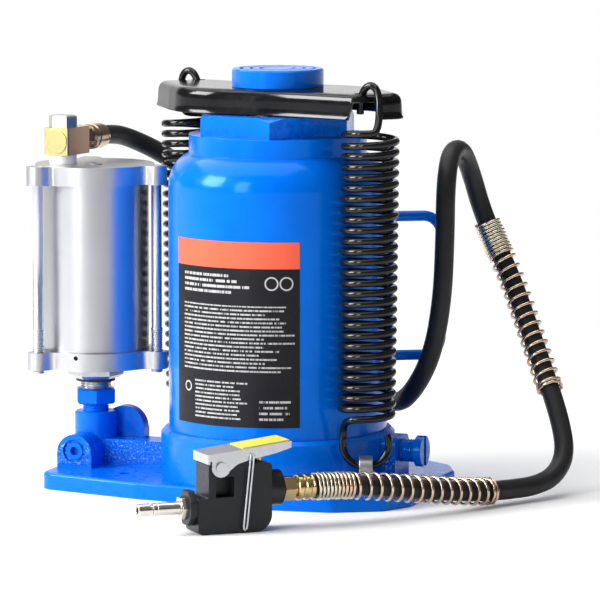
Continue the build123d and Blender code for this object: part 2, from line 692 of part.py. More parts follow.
# ---------------------------------------------------------------- hose and its wire guards
# from the ferrule on the motor, down behind the barrel, up past the carry handle, over a
# tight fold, down to the floor and round to the trigger valve's outlet
HOSE_ROUTE = [
    (-136.15, 47.642, 211.5),
    (-134.2, 63.523, 211.5),
    (-127.5, 79.5, 207),
    (-111, 92.5, 196.5),
    (-84, 101, 177),
    (-50, 105, 145),
    (-12, 102, 105),
    (20, 90, 67),
    (40, 75, 51),
    (58, 58, 48.5),
    (75, 38, 60),
    (90.5, 27.5, 84),
    (97, 27, 118),
    (98.3, 28, 156),
    (98, 30, 190),
    (95.5, 47, 208),
    (94.5, 72, 208),
    (95, 90, 191),
    (99.5, 95, 170),
    (108, 94, 151),
    (122, 89, 126),
    (136, 79.5, 98),
    (149, 69, 73),
    (163, 56, 47),
    (171, 45, 26),
    (168.5, 32, 13.5),
    (161, 16, 9),
    (150.5, -2.5, 8.9),
    (139, -24, 10),
    (126.5, -46, 13),
    (108, -72, 17.6),
    (90, -94, 21.5),
    (76.5, -107.55, 23.2),
    (64.95, -117.937, 23.2),
]
points = [Vector(*p) for p in HOSE_ROUTE]
radii = []
for before, corner, after in zip(points, points[1:], points[2:]):
    turn = radians((corner - before).get_angle(after - corner))
    radii.append(0.45 * min((corner - before).length, (after - corner).length) / tan(turn / 2))
print("hose radii", [round(r) for r in radii])


def hose_piece(route, bends, outer, inner=0.0):
    """A tube along part of the hose's route."""
    with BuildPart() as made:
        with BuildLine() as line:
            FilletPolyline(*route, radius=bends)
        path = line.wires()[0]
        with BuildSketch(Plane(origin=path @ 0, z_dir=path % 0)):
            Circle(outer)
            if inner:
                Circle(inner, mode=Mode.SUBTRACT)
        sweep(path=path)
    section = pi * (outer**2 - inner**2)
    print("tube length", round(path.length, 1), "volume over section", round(made.part.volume / section, 1))
    return made


pieces["hose"] = hose_piece(points, radii, HOSE_R)
# each guard covers a few of the route's corners: head and tail are shares of its first and last runs
for name, first, last, head, tail in (
    ("hose_guard_upper", 19, 22, 0.5, 0.5),
    ("hose_guard_lower", 28, 32, 0.54, 1),
):
    start = points[first - 1] + (points[first] - points[first - 1]) * head
    end = points[last] + (points[last + 1] - points[last]) * tail
    route = [start] + points[first:last + 1] + [end]
    pieces[name] = hose_piece(route, radii[first - 1:last], GUARD_R, GUARD_BORE_R)

# ---------------------------------------------------------------- trigger valve


def along_valve(height):
    """The plane across the trigger valve's body, facing its outlet."""
    return Plane(
        origin=valve_plane.from_local_coords((0, height, 0)),
        x_dir=(sin(valve_turn), -cos(valve_turn), 0),
        z_dir=(cos(valve_turn), sin(valve_turn), 0),
    )


# x, z and corner radius
BODY_OUTLINE = [
    (-50, 0.2, 3), (-4, 0.2, 10), (-4, 40.5, 2), (-26, 40.5, 1.5), (-30, 43, 1), (-42.6, 43, 0.8),
    (-42.6, 40.8, 0.3), (-43.5, 40.8, 0.3), (-43.5, 21.2, 1.2), (-50, 21.2, 0.8),
]
with BuildPart() as valve_body:
    with BuildSketch(valve_plane.offset(-VALVE_HALF)):
        with BuildLine():
            FilletPolyline(*[p[:2] for p in BODY_OUTLINE], radius=[p[2] for p in BODY_OUTLINE], close=True)
        make_face()
    extrude(amount=2 * VALVE_HALF)
    with BuildSketch(along_valve(OUTLET_Z + 1).offset(-5)):
        Circle(10.5)
    extrude(amount=9.4)
    with BuildSketch(valve_plane.offset(VALVE_HALF)):
        with Locations((-33.4, 27.6)):
            RectangleRounded(11.5, 12, 1.2)
    extrude(amount=-8, mode=Mode.SUBTRACT)
    with BuildSketch(valve_plane.offset(-VALVE_HALF)):
        with Locations((PIVOT_X, PIVOT_Z)):
            Circle(2 + SLIVER)
        with Locations((BAIL_X, BAIL_Z)):
            Circle(1)
    extrude(amount=2 * VALVE_HALF, mode=Mode.SUBTRACT)
    with BuildSketch(Plane.XY.offset(28)):
        with Locations(valve_plane.from_local_coords((BUTTON_X, 0, 0))):
            Circle(2.25)
    extrude(amount=20, mode=Mode.SUBTRACT)
    with BuildSketch(along_valve(INLET_Z).offset(-50)):
        Circle(4.05)
    extrude(amount=10, mode=Mode.SUBTRACT)
pieces["valve_body"] = valve_body

with BuildPart() as inlet_collar:
    with BuildSketch(along_valve(INLET_Z).offset(-54.5)):
        RegularPolygon(11, 8, rotation=22.5)
        Circle(4.05, mode=Mode.SUBTRACT)
    extrude(amount=4.5)
pieces["inlet_collar"] = inlet_collar

with BuildPart() as air_nipple:
    low = -84
    for radius, high in ((3.9, -76.5), (2.9, -75), (3.9, -72.8), (3.5, -72), (3.9, -58)):
        with BuildSketch(along_valve(INLET_Z).offset(low)):
            Circle(radius)
        extrude(amount=high - low)
        low = high
    with BuildSketch(along_valve(INLET_Z).offset(-58)):
        RegularPolygon(7.2, 6)
    extrude(amount=3.5)
    with BuildSketch(along_valve(INLET_Z).offset(-54.5)):
        Circle(4)
    extrude(amount=14)
    with BuildSketch(along_valve(INLET_Z).offset(-84)):
        Circle(2)
    extrude(amount=43.5, mode=Mode.SUBTRACT)
pieces["air_nipple"] = air_nipple

with BuildPart() as outlet_fitting:
    low = 4.4
    for radius, high in ((5.6, 6), (8, 13), (6, 14.5)):
        with BuildSketch(along_valve(OUTLET_Z).offset(low)):
            if radius == 8:
                RegularPolygon(radius, 6)
            else:
                Circle(radius)
            Circle(2.5, mode=Mode.SUBTRACT)
        extrude(amount=high - low)
        low = high
pieces["outlet_fitting"] = outlet_fitting

with BuildPart() as outlet_ferrule:
    with BuildSketch(along_valve(OUTLET_Z).offset(14.5)):
        Circle(7.8)
        Circle(2.5, mode=Mode.SUBTRACT)
    extrude(amount=OUTLET_END - 14.5)
    chamfer(outlet_ferrule.faces().sort_by(Axis.X)[0].outer_wire().edges(), length=0.6)
pieces["outlet_ferrule"] = outlet_ferrule

LEVER_HALF, LEVER_T = 12.3, 1.3
with BuildPart() as trigger_lever:
    with BuildSketch(valve_plane.offset(-LEVER_HALF)):
        with BuildLine():
            Polyline(
                (-44.5, 47), (7.5, 52.8), (7.5, 51.4), (-43.2, 45.7), (-43.2, 41.5), (-44.5, 41.5), close=True
            )
        make_face()
    extrude(amount=2 * LEVER_HALF)
    for side in (-LEVER_HALF, LEVER_HALF - LEVER_T):
        with BuildSketch(valve_plane.offset(side)):
            with BuildLine():
                Polyline(
                    (-44.5, 47), (7.5, 52.8), (7.5, 49), (-2, 46.2), (-18, 43.2), (-26, 41),
                    (-30.8, 37.5), (-41.8, 39), (-42, 43.2), (-44.5, 43.2), close=True,
                )
            make_face()
            with Locations((PIVOT_X, PIVOT_Z)):
                Circle(5.7)
                Circle(2 + SLIVER, mode=Mode.SUBTRACT)
        extrude(amount=LEVER_T)
pieces["trigger_lever"] = trigger_lever

with BuildPart() as grip_strip:
    with BuildSketch(valve_plane.offset(-LEVER_HALF + 1.5)):
        with BuildLine():
            Polyline((-22, 49.51), (7, 52.75), (6.95, 53.25), (-22.05, 50.01), close=True)
        make_face()
    extrude(amount=2 * LEVER_HALF - 4)
pieces["grip_strip"] = grip_strip

with BuildPart() as lever_pin:
    for radius, low, high in ((3.3, -13.8, -12.6), (2, -12.6, 12.6), (3.3, 12.6, 13.8)):
        with BuildSketch(valve_plane.offset(low)):
            with Locations((PIVOT_X, PIVOT_Z)):
                Circle(radius)
        extrude(amount=high - low)
pieces["lever_pin"] = lever_pin

button_at = valve_plane.from_local_coords((BUTTON_X, 0, 0))
button_axis = Plane(origin=(button_at.X, button_at.Y, 0))
pieces["valve_button"] = turned(button_axis, 33, [(2.2, 49)])
pieces["button_spring"] = ring(2.2, 1.4, 28, 33 - GAP, (button_at.X, button_at.Y))

BAIL_R, BAIL_HALF = 0.9, 13.6
lean = Vector(4.8, 45.7, 0).normalized()
up = valve_plane.x_dir * lean.X + Vector(0, 0, 1) * lean.Y
side_dir = valve_plane.z_dir
bail_plane = Plane(
    origin=valve_plane.from_local_coords((BAIL_X, BAIL_Z, 0)), x_dir=side_dir, z_dir=side_dir.cross(up)
)
with BuildPart() as lock_bail:
    with BuildLine(bail_plane):
        wire = FilletPolyline(
            (-BAIL_HALF, 45), (-BAIL_HALF, 0), (BAIL_HALF, 0), (BAIL_HALF, 45), radius=2.5
        )
    with BuildSketch(Plane(origin=wire @ 0, z_dir=wire % 0)):
        Circle(BAIL_R)
    sweep()
pieces["lock_bail"] = lock_bail

for name, piece in pieces.items():
    piece.part.label = name
    export_step(piece.part, f"parts/{name}.step")
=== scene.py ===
"""Air over hydraulic bottle jack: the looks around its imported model, in metres.

The origin is on the ram's axis at the bottom of the base, +Z is up, +X runs from the air
motor to the release valve, and -Y is the side with the label.
"""

from math import cos, floor, pi, radians, sin, tan

import bmesh
import bpy
from mathutils import Matrix, Vector


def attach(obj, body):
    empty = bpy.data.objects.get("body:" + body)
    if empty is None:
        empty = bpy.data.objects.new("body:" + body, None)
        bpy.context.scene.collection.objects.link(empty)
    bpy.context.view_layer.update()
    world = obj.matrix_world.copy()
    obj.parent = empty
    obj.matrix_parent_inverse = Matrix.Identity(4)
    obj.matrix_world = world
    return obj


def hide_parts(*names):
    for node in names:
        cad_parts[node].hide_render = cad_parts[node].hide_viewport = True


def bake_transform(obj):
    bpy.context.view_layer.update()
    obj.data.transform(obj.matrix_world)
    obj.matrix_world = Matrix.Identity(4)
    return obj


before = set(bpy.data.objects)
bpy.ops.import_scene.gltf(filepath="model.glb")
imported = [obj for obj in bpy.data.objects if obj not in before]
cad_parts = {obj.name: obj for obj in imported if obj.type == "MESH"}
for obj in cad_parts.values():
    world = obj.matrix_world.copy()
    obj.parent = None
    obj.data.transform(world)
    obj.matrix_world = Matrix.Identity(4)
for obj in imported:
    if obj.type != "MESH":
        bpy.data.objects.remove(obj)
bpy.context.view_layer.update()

MM = 0.001


def link(obj):
    """Puts an object in the scene."""
    bpy.context.scene.collection.objects.link(obj)
    return obj


# ---------------------------------------------------------------- camera
AIM = Vector((12.7, 4.6, 117.7)) * MM
CAMERA_TURN, CAMERA_PITCH = radians(20), 0.117  # right of -Y and above level, in radians
CAMERA_AWAY, CLIP_END = 2.9387, 20  # metres
SENSOR, LENS = 36, 287.9  # millimetres

camera_data = bpy.data.cameras.new("camera")
camera_data.sensor_width = SENSOR
camera_data.lens = LENS
camera_data.clip_end = CLIP_END
camera = link(bpy.data.objects.new("camera", camera_data))
back = Vector((
    sin(CAMERA_TURN) * cos(CAMERA_PITCH), -cos(CAMERA_TURN) * cos(CAMERA_PITCH), sin(CAMERA_PITCH)
))
camera.location = AIM + back * CAMERA_AWAY
camera.rotation_mode = "QUATERNION"
camera.rotation_quaternion = (-back).to_track_quat("-Z", "Y")
bpy.context.scene.camera = camera


# ---------------------------------------------------------------- materials
class Shader:
    """A Principled material, with short calls for the nodes that feed it."""

    def __init__(self, name, color, metallic=0.0, roughness=0.5, **sockets):
        self.material = bpy.data.materials.new(name)
        self.material.use_nodes = True
        self.nodes = self.material.node_tree.nodes
        self.links = self.material.node_tree.links
        self.bsdf = self.nodes["Principled BSDF"]
        self.put("Base Color", (*color, 1))
        self.put("Metallic", metallic)
        self.put("Roughness", roughness)
        for socket, value in sockets.items():
            self.put(socket.replace("_", " "), value)
        self.place = self.nodes.new("ShaderNodeTexCoord").outputs["Object"]

    def feed(self, target, value):
        """Links another node's output to a socket, or sets the socket to a value."""
        if isinstance(value, bpy.types.NodeSocket):
            self.links.new(value, target)
        else:
            target.default_value = value

    def put(self, socket, value):
        """Feeds one of the shader's own sockets."""
        self.feed(self.bsdf.inputs[socket], value)

    def axes(self):
        """Object coordinates as three numbers."""
        split = self.nodes.new("ShaderNodeSeparateXYZ")
        self.links.new(self.place, split.inputs[0])
        return split.outputs[:3]

    def facing_share(self, direction):
        """How nearly a face of the object looks along a direction: 1 when it does."""
        node = self.nodes.new("ShaderNodeVectorMath")
        node.operation = "DOT_PRODUCT"
        self.links.new(self.nodes.new("ShaderNodeTexCoord").outputs["Normal"], node.inputs[0])
        node.inputs[1].default_value = direction
        return node.outputs["Value"]

    def math(self, operation, *values):
        node = self.nodes.new("ShaderNodeMath")
        node.operation = operation
        for target, value in zip(node.inputs, values):
            self.feed(target, value)
        return node.outputs[0]

    def vector(self, x, y, z):
        node = self.nodes.new("ShaderNodeCombineXYZ")
        for target, value in zip(node.inputs, (x, y, z)):
            self.feed(target, value)
        return node.outputs[0]

    def stretched(self, x, y, z):
        """Object coordinates times three factors."""
        node = self.nodes.new("ShaderNodeMapping")
        node.inputs["Scale"].default_value = (x, y, z)
        self.links.new(self.place, node.inputs["Vector"])
        return node.outputs[0]

    def noise(self, scale, detail=3.0, vector=None, rough=0.55):
        node = self.nodes.new("ShaderNodeTexNoise")
        node.inputs["Scale"].default_value = scale
        node.inputs["Detail"].default_value = detail
        node.inputs["Roughness"].default_value = rough
        self.links.new(vector or self.place, node.inputs["Vector"])
        return node.outputs["Fac"]

    def span(self, value, low, high, to_low=0.0, to_high=1.0):
        """Maps low..high to to_low..to_high, clamped."""
        node = self.nodes.new("ShaderNodeMapRange")
        self.feed(node.inputs["Value"], value)
        limits = {"From Min": low, "From Max": high, "To Min": to_low, "To Max": to_high}
        for socket, number in limits.items():
            node.inputs[socket].default_value = number
        return node.outputs[0]

    def blend(self, share, a, b):
        """A colour between a and b."""
        node = self.nodes.new("ShaderNodeMix")
        node.data_type = "RGBA"
        self.feed(node.inputs["Factor"], share)
        colours = [s for s in node.inputs if s.type == "RGBA"]
        for target, value in zip(colours, (a, b)):
            self.feed(target, value if isinstance(value, bpy.types.NodeSocket) else (*value, 1))
        return [s for s in node.outputs if s.type == "RGBA"][0]

    def bump(self, *layers):
        """Each layer is (height, strength, distance in metres)."""
        normal = None
        for height, strength, distance in layers:
            node = self.nodes.new("ShaderNodeBump")
            node.inputs["Strength"].default_value = strength
            node.inputs["Distance"].default_value = distance
            self.links.new(height, node.inputs["Height"])
            if normal:
                self.links.new(normal, node.inputs["Normal"])
            normal = node.outputs[0]
        self.put("Normal", normal)

    def drift_color(self, scale, detail, a, b):
        """Colour that wanders between a and b."""
        self.put("Base Color", self.blend(self.noise(scale, detail), a, b))

    def drift_roughness(self, scale, detail, low, high):
        """Roughness that wanders between low and high."""
        self.put("Roughness", self.span(self.noise(scale, detail), *NOISE_RANGE, low, high))


NOISE_RANGE = (0.3, 0.7)  # nearly all values of a noise are in here
PATCHY = (0.35, 0.65)  # a narrower range gives patches with plainer edges
BLUE, BLUE_DEEP = (0.0, 0.145, 0.72), (0.0, 0.125, 0.66)
# the pit colours here are painted shade in the pits of the casting and of the nut, the glint colour a
# painted glint on the casting's grain
BLUE_PIT_SHADE, BLUE_GLINT, BLUE_SHADE = (0.002, 0.035, 0.2), (0.35, 0.6, 0.9), (0.0, 0.05, 0.36)
ENAMEL = {
    "Specular_IOR_Level": 0.35, "Specular_Tint": (0.03, 0.5, 1, 1),
    "Coat_Weight": 0.14, "Coat_Roughness": 0.08,
}
NUT_FLAT = radians(-45.5)  # where the rough flat of the gland nut faces
COLLAR_R = 0.0735  # the casting's round collar, which is smooth
PLATE_TOP, BOSS_LOW = 0.012, 0.026  # the rough faces of the casting are between these heights


def blue_paint(name, roughness=0.2, grain=0.05):
    """Gloss enamel with a little orange peel."""
    s = Shader(name, BLUE, roughness=roughness, **ENAMEL)
    s.put("Base Color", s.blend(s.span(s.noise(28, 4), *PATCHY), BLUE, BLUE_DEEP))
    s.drift_roughness(90, 4, roughness - 0.03, roughness + 0.05)
    s.bump((s.noise(420, 2), grain, 0.0006), (s.noise(1700, 2), grain * 0.6, 0.0002))
    return s.material


def cast_paint(name):
    """The same enamel over a sand casting: smooth on the collar and plate, pitted on the blocks, with
    painted shade in the pits and painted glints on the grain.
    """
    s = Shader(name, BLUE, roughness=0.3, **ENAMEL)
    x, y, z = s.axes()
    radius = s.math("SQRT", s.math("ADD", s.math("MULTIPLY", x, x), s.math("MULTIPLY", y, y)))
    off_collar = s.span(radius, COLLAR_R - MM, COLLAR_R + MM)
    above_plate = s.span(z, PLATE_TOP - 0.5 * MM, PLATE_TOP + 0.5 * MM)
    below_boss = s.span(z, BOSS_LOW + 0.2 * MM, BOSS_LOW - 0.2 * MM)
    front = s.span(s.facing_share((0, -1, 0)), 0.9, 0.97)
    patch = s.math("MULTIPLY", s.math("MULTIPLY", off_collar, above_plate), front)
    cast = s.math("MULTIPLY", patch, below_boss)
    pits = s.noise(700, 5, rough=0.75)
    # painted shade darkens the low pits and painted glints lighten the high grain, on faces looking towards
    # -Y
    painted_pit_shade = s.math("MULTIPLY", s.span(pits, 0.5, 0.40, 0, 0.7), cast)
    glints = s.math("MULTIPLY", s.span(pits, 0.55, 0.62, 0, 0.75), cast)
    painted = s.blend(s.noise(30, 3), BLUE, BLUE_DEEP)
    s.put("Base Color", s.blend(glints, s.blend(painted_pit_shade, painted, BLUE_PIT_SHADE), BLUE_GLINT))
    s.drift_roughness(110, 4, 0.24, 0.34)
    s.bump((s.math("MULTIPLY", pits, cast), 0.6, 0.001), (s.noise(160, 3), 0.12, 0.001))
    return s.material


def nut_paint(name):
    """Enamel over a forged nut: one of its flats is rough, with painted shade in its pits."""
    s = Shader(name, BLUE, roughness=0.24, **ENAMEL)
    rough = s.span(s.facing_share((cos(NUT_FLAT), sin(NUT_FLAT), 0)), 0.95, 0.98)
    pits = s.noise(240, 5, rough=0.7)
    # painted shade in the pits of the rough flat
    painted_pit_shade = s.math("MULTIPLY", rough, s.span(pits, 0.5, 0.38, 0, 0.4))
    s.put("Base Color", s.blend(painted_pit_shade, BLUE, BLUE_SHADE))
    s.drift_roughness(90, 4, 0.2, 0.32)
    s.bump((s.math("MULTIPLY", pits, rough), 0.8, 0.002), (s.noise(420, 2), 0.05, 0.0006))
    return s.material


def black_paint(name):
    """Thick gloss black of the pressed plate and the springs."""
    s = Shader(name, (0.005, 0.005, 0.006), roughness=0.12, Specular_IOR_Level=0.32)
    s.drift_color(60, 3, (0.004, 0.004, 0.005), (0.007, 0.007, 0.008))
    s.drift_roughness(140, 4, 0.09, 0.16)
    s.bump((s.noise(500, 2), 0.03, 0.0005))
    return s.material


def metal(name, color, other, roughness, spread=0.06, scale=160, lines=None, strength=0.05):
    """Plated or machined metal. lines stretches the fine noise into tool marks."""
    s = Shader(name, color, metallic=1.0, roughness=roughness)
    s.put("Base Color", s.blend(s.span(s.noise(scale, 4), *PATCHY), color, other))
    fine = s.noise(1, 2, vector=s.stretched(*lines)) if lines else s.noise(scale * 18, 3)
    s.put("Roughness", s.span(fine, *NOISE_RANGE, roughness - spread / 2, roughness + spread / 2))
    s.bump((fine, strength, 0.0002))
    return s.material


def union_metal(name):
    """Yellow chromate, copper-brown on the faces that look along +X, towards the barrel."""
    s = Shader(name, (0.6, 0.53, 0.22), metallic=1.0, roughness=0.3)
    # copper-brown on the faces that look along +X
    plus_x_faces = s.span(s.facing_share((1, 0, 0)), 0.5, 0.7)
    yellow = s.blend(s.noise(160, 3), (0.74, 0.66, 0.30), (0.64, 0.58, 0.26))
    s.put("Base Color", s.blend(plus_x_faces, yellow, (0.40, 0.25, 0.19)))
    s.drift_roughness(1800, 3, 0.26, 0.34)
    return s.material


def guard_metal(name, axis, low, high):
    """Spring wire, coppery where it is open and pale yellow where its coils close up, along one axis."""
    s = Shader(name, (0.6, 0.5, 0.35), metallic=1.0, roughness=0.25)
    close = s.span(s.axes()[axis], low, high)
    s.put("Base Color", s.blend(close, (0.66, 0.50, 0.37), (0.70, 0.64, 0.50)))
    s.drift_roughness(1600, 3, 0.2, 0.3)
    return s.material


def rubber(name, color=(0.012, 0.012, 0.013), roughness=0.42):
    s = Shader(name, color, roughness=roughness, Specular_IOR_Level=0.25)
    s.drift_color(80, 4, color, tuple(c * 1.9 for c in color))
    s.drift_roughness(200, 4, roughness - 0.08, roughness + 0.1)
    s.bump((s.noise(900, 3), 0.1, 0.0003))
    return s.material


def plastic(name, color, roughness=0.4, grain=0.2):
    s = Shader(name, color, roughness=roughness, Specular_IOR_Level=0.3)
    s.drift_color(50, 3, color, tuple(c * 1.25 for c in color))
    s.drift_roughness(300, 3, roughness - 0.05, roughness + 0.08)
    s.bump((s.noise(1500, 3), grain, 0.00025))
    return s.material


LABEL_MID = radians(-94.75)  # the middle of the print, about the ram's axis
LABEL_R = 0.06725
CHARCOAL, INK = (0.010, 0.010, 0.013), (0.45, 0.45, 0.45)
# bottom and top of each block of print, its left and right, the pitch of its rows, how full a row is,
# words for each metre and a seed
PRINT_BLOCKS = (
    (0.1286, 0.1415, -0.037, 0.012, 0.0033, 0.5, 900, 3.0),
    (0.0815, 0.1215, -0.0375, 0.040, 0.00245, 0.42, 1200, 11.0),
    (0.0525, 0.0765, -0.027, 0.012, 0.0024, 0.42, 1200, 29.0),
    (0.0525, 0.066, 0.018, 0.038, 0.0035, 0.4, 1000, 43.0),
)
# place across, height and radius of each ring mark, and the width of its line
RINGS = ((0.0255, 0.1352, 0.0042), (0.0345, 0.1352, 0.0042), (-0.0335, 0.0705, 0.0032))
RING_LINE = 0.0009
ROW_SHIFT = 7.31  # takes each row to a part of the noise of its own
WORD_FROM = 0.43  # noise above this is ink, below it a gap between words
RAGGED = 0.3  # the most of its width by which a row ends short


def label_print(name):
    """White rows of print on charcoal film: bars broken like words, with no letters, and ring marks."""
    s = Shader(name, CHARCOAL, roughness=0.4, Specular_IOR_Level=0.15)
    x, y, z = s.axes()
    across = s.math("MULTIPLY", s.math("ADD", s.math("ARCTAN2", y, x), -LABEL_MID), LABEL_R)

    def between(value, low, high):
        return s.math("MULTIPLY", s.math("GREATER_THAN", value, low), s.math("LESS_THAN", value, high))

    def rows(bottom, top, left, right, pitch, fill, words, seed):
        """A block of print, with word breaks from a noise along each row and ragged row ends."""
        row = s.math("DIVIDE", s.math("SUBTRACT", z, bottom), pitch)
        line = s.math("FLOOR", row)
        inked = s.math("LESS_THAN", s.math("FRACT", row), fill)
        cell = s.nodes.new("ShaderNodeTexNoise")
        cell.noise_dimensions = "2D"
        cell.inputs["Scale"].default_value = 1
        cell.inputs["Detail"].default_value = 2
        own_row = s.math("ADD", s.math("MULTIPLY", line, ROW_SHIFT), seed)
        s.feed(cell.inputs["Vector"], s.vector(s.math("MULTIPLY", across, words), own_row, 0))
        word = s.math("GREATER_THAN", cell.outputs["Fac"], WORD_FROM)
        ragged = s.nodes.new("ShaderNodeTexWhiteNoise")
        ragged.noise_dimensions = "1D"
        s.feed(ragged.inputs["W"], s.math("ADD", line, seed))
        short = s.math("MULTIPLY", ragged.outputs["Value"], (right - left) * RAGGED)
        end = s.math("SUBTRACT", right, short)
        block = s.math("MULTIPLY", between(z, bottom, top), between(across, left, end))
        return s.math("MULTIPLY", s.math("MULTIPLY", block, inked), word)

    ink = 0.0
    for block in PRINT_BLOCKS:
        ink = s.math("MAXIMUM", ink, rows(*block))
    for middle, height, radius in RINGS:
        sideways = s.math("POWER", s.math("SUBTRACT", across, middle), 2)
        upwards = s.math("POWER", s.math("SUBTRACT", z, height), 2)
        away = s.math("SQRT", s.math("ADD", sideways, upwards))
        ink = s.math("MAXIMUM", ink, between(away, radius - RING_LINE, radius))
    s.put("Base Color", s.blend(ink, CHARCOAL, INK))
    s.drift_roughness(150, 3, 0.26, 0.38)
    s.bump((s.noise(700, 2), 0.03, 0.0003))
    return s.material


def label_band(name):
    s = Shader(name, (0.83, 0.14, 0.06), roughness=0.4, Specular_IOR_Level=0.2)
    s.drift_color(30, 3, (0.84, 0.125, 0.065), (0.78, 0.11, 0.055))
    s.drift_roughness(150, 3, 0.3, 0.4)
    s.bump((s.noise(700, 2), 0.03, 0.0003))
    return s.material


LOOKS = {
    "blue": blue_paint("blue_enamel"),
    "cast": cast_paint("blue_casting"),
    "black": black_paint("black_enamel"),
    "tube": metal(
        "anodised_tube", (0.50, 0.505, 0.53), (0.48, 0.485, 0.51), 0.34, 0.03, 40,
        lines=(60, 60, 2600), strength=0.02,
    ),
    "cap": metal(
        "machined_cap", (0.50, 0.505, 0.52), (0.48, 0.485, 0.50), 0.36, 0.02, 40, strength=0.0,
    ),
    "zinc": metal("bright_zinc", (0.62, 0.63, 0.65), (0.58, 0.59, 0.61), 0.38),
    "nickel": metal("nickel", (0.66, 0.62, 0.56), (0.6, 0.56, 0.5), 0.17),
    "steel": metal(
        "turned_steel", (0.56, 0.56, 0.57), (0.50, 0.50, 0.51), 0.28, 0.06, 60, lines=(40, 40, 1800),
    ),
    "union": union_metal("yellow_chromate"),
    "bolt": metal("pale_chromate", (0.60, 0.63, 0.50), (0.52, 0.56, 0.44), 0.36, 0.06, 70),
    "copper": metal("worn_ferrule", (0.52, 0.40, 0.28), (0.44, 0.32, 0.22), 0.24, 0.06, 70),
    "nut": nut_paint("nut_enamel"),
    "brass": metal("brass", (0.62, 0.47, 0.22), (0.50, 0.38, 0.18), 0.22, 0.06, 70),
    "guard_upper": guard_metal("guard_wire_upper", 2, 0.135, 0.15),
    "guard_lower": guard_metal("guard_wire_lower", 0, 0.086, 0.078),
    "hose": rubber("hose_rubber"),
    "seal": rubber("seal_rubber", (0.02, 0.02, 0.02), 0.5),
    "plastic": plastic("black_plastic", (0.008, 0.009, 0.011), 0.34),
    "grey": plastic("grey_plastic", (0.24, 0.25, 0.26), 0.45),
    "white": plastic("white_nylon", (0.72, 0.72, 0.70), 0.45, 0.1),
    "yellow": plastic("yellow_vinyl", (0.72, 0.58, 0.08), 0.32, 0.08),
    "print": label_print("label_print"),
    "band": label_band("label_orange"),
}


# ---------------------------------------------------------------- helpers
ROWS_A_TURN, LEAST_FADE = 8, 0.15  # of a thread: rows of vertices in a turn, and its depth at the ends
SMOOTH_EDGE = radians(32)  # edges sharper than this are rounded


def wear(obj, look):
    obj.data.materials.clear()
    obj.data.materials.append(LOOKS[look])


def smooth_object(name, mesh, look):
    obj = link(bpy.data.objects.new(name, mesh))
    wear(obj, look)
    for face in mesh.polygons:
        face.use_smooth = True
    return obj


def piece(name, mesh, body, look, nodes=()):
    """A mesh that rides on a body and may stand for CAD nodes."""
    obj = smooth_object(name, mesh, look)
    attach(obj, body)
    if nodes:
        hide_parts(*nodes)
    return obj


def weigh_normals(obj, weight):
    """Lets large faces decide how the shading turns over their edges."""
    normals = obj.modifiers.new("normals", "WEIGHTED_NORMAL")
    normals.keep_sharp = False
    normals.weight = weight
    return normals


def soften(obj, width, flat=False):
    """Welds a tessellated solid and rounds its edges. Flat keeps its faces unsmoothed."""
    for face in obj.data.polygons:
        face.use_smooth = not flat
    weld = obj.modifiers.new("weld", "WELD")
    weld.merge_threshold = 0.002 * MM
    bevel = obj.modifiers.new("bevel", "BEVEL")
    bevel.width = width
    bevel.segments = 2
    bevel.limit_method = "ANGLE"
    bevel.angle_limit = SMOOTH_EDGE
    if not flat:
        weigh_normals(obj, 60)


def mesh_of(name, verts, faces):
    mesh = bpy.data.meshes.new(name)
    mesh.from_pydata(verts, [], faces)
    return mesh


def band(first, second, sides):
    """Faces between two rings of vertices that start at first and second."""
    return [
        (first + k, first + (k + 1) % sides, second + (k + 1) % sides, second + k) for k in range(sides)
    ]


def end_caps(first, last, sides):
    """Faces that close the first and the last ring."""
    return [tuple(range(first + sides - 1, first - 1, -1)), tuple(range(last, last + sides))]


def sweep_mesh(name, path, radius, sides, closed=False):
    """A round wire along a list of points."""
    path = [Vector(p) for p in path]
    count = len(path)
    verts, faces = [], []
    tangents = []
    for i in range(count):
        before = path[(i - 1) % count] if closed or i else path[i]
        after = path[(i + 1) % count] if closed or i < count - 1 else path[i]
        tangents.append((after - before).normalized())
    normal = tangents[0].orthogonal().normalized()
    for i, (point, tangent) in enumerate(zip(path, tangents)):
        if i:
            normal = tangents[i - 1].rotation_difference(tangent) @ normal
        side = tangent.cross(normal)
        for k in range(sides):
            a = 2 * pi * k / sides
            verts.append(point + (normal * cos(a) + side * sin(a)) * radius)
    for i in range(count if closed else count - 1):
        faces += band(i * sides, (i + 1) % count * sides, sides)
    if not closed:
        faces += end_caps(0, (count - 1) * sides, sides)
    return mesh_of(name, verts, faces)


def ring_points(radius_at, height, place, sides):
    """A ring about the Z axis of place. radius_at gives the radius from the angle."""
    points = []
    for k in range(sides):
        a = 2 * pi * k / sides
        r = radius_at(a)
        points.append(place @ Vector((r * cos(a), r * sin(a), height)))
    return points


def lathe_mesh(name, profile, place, sides):
    """Turns (radius, height) points, in millimetres, about the Z axis of place. Its ends stay open."""
    verts, faces = [], []
    for radius, height in profile:
        verts += ring_points(lambda a, r=radius * MM: r, height * MM, place, sides)
    for i in range(len(profile) - 1):
        faces += band(i * sides, (i + 1) * sides, sides)
    return mesh_of(name, verts, faces)


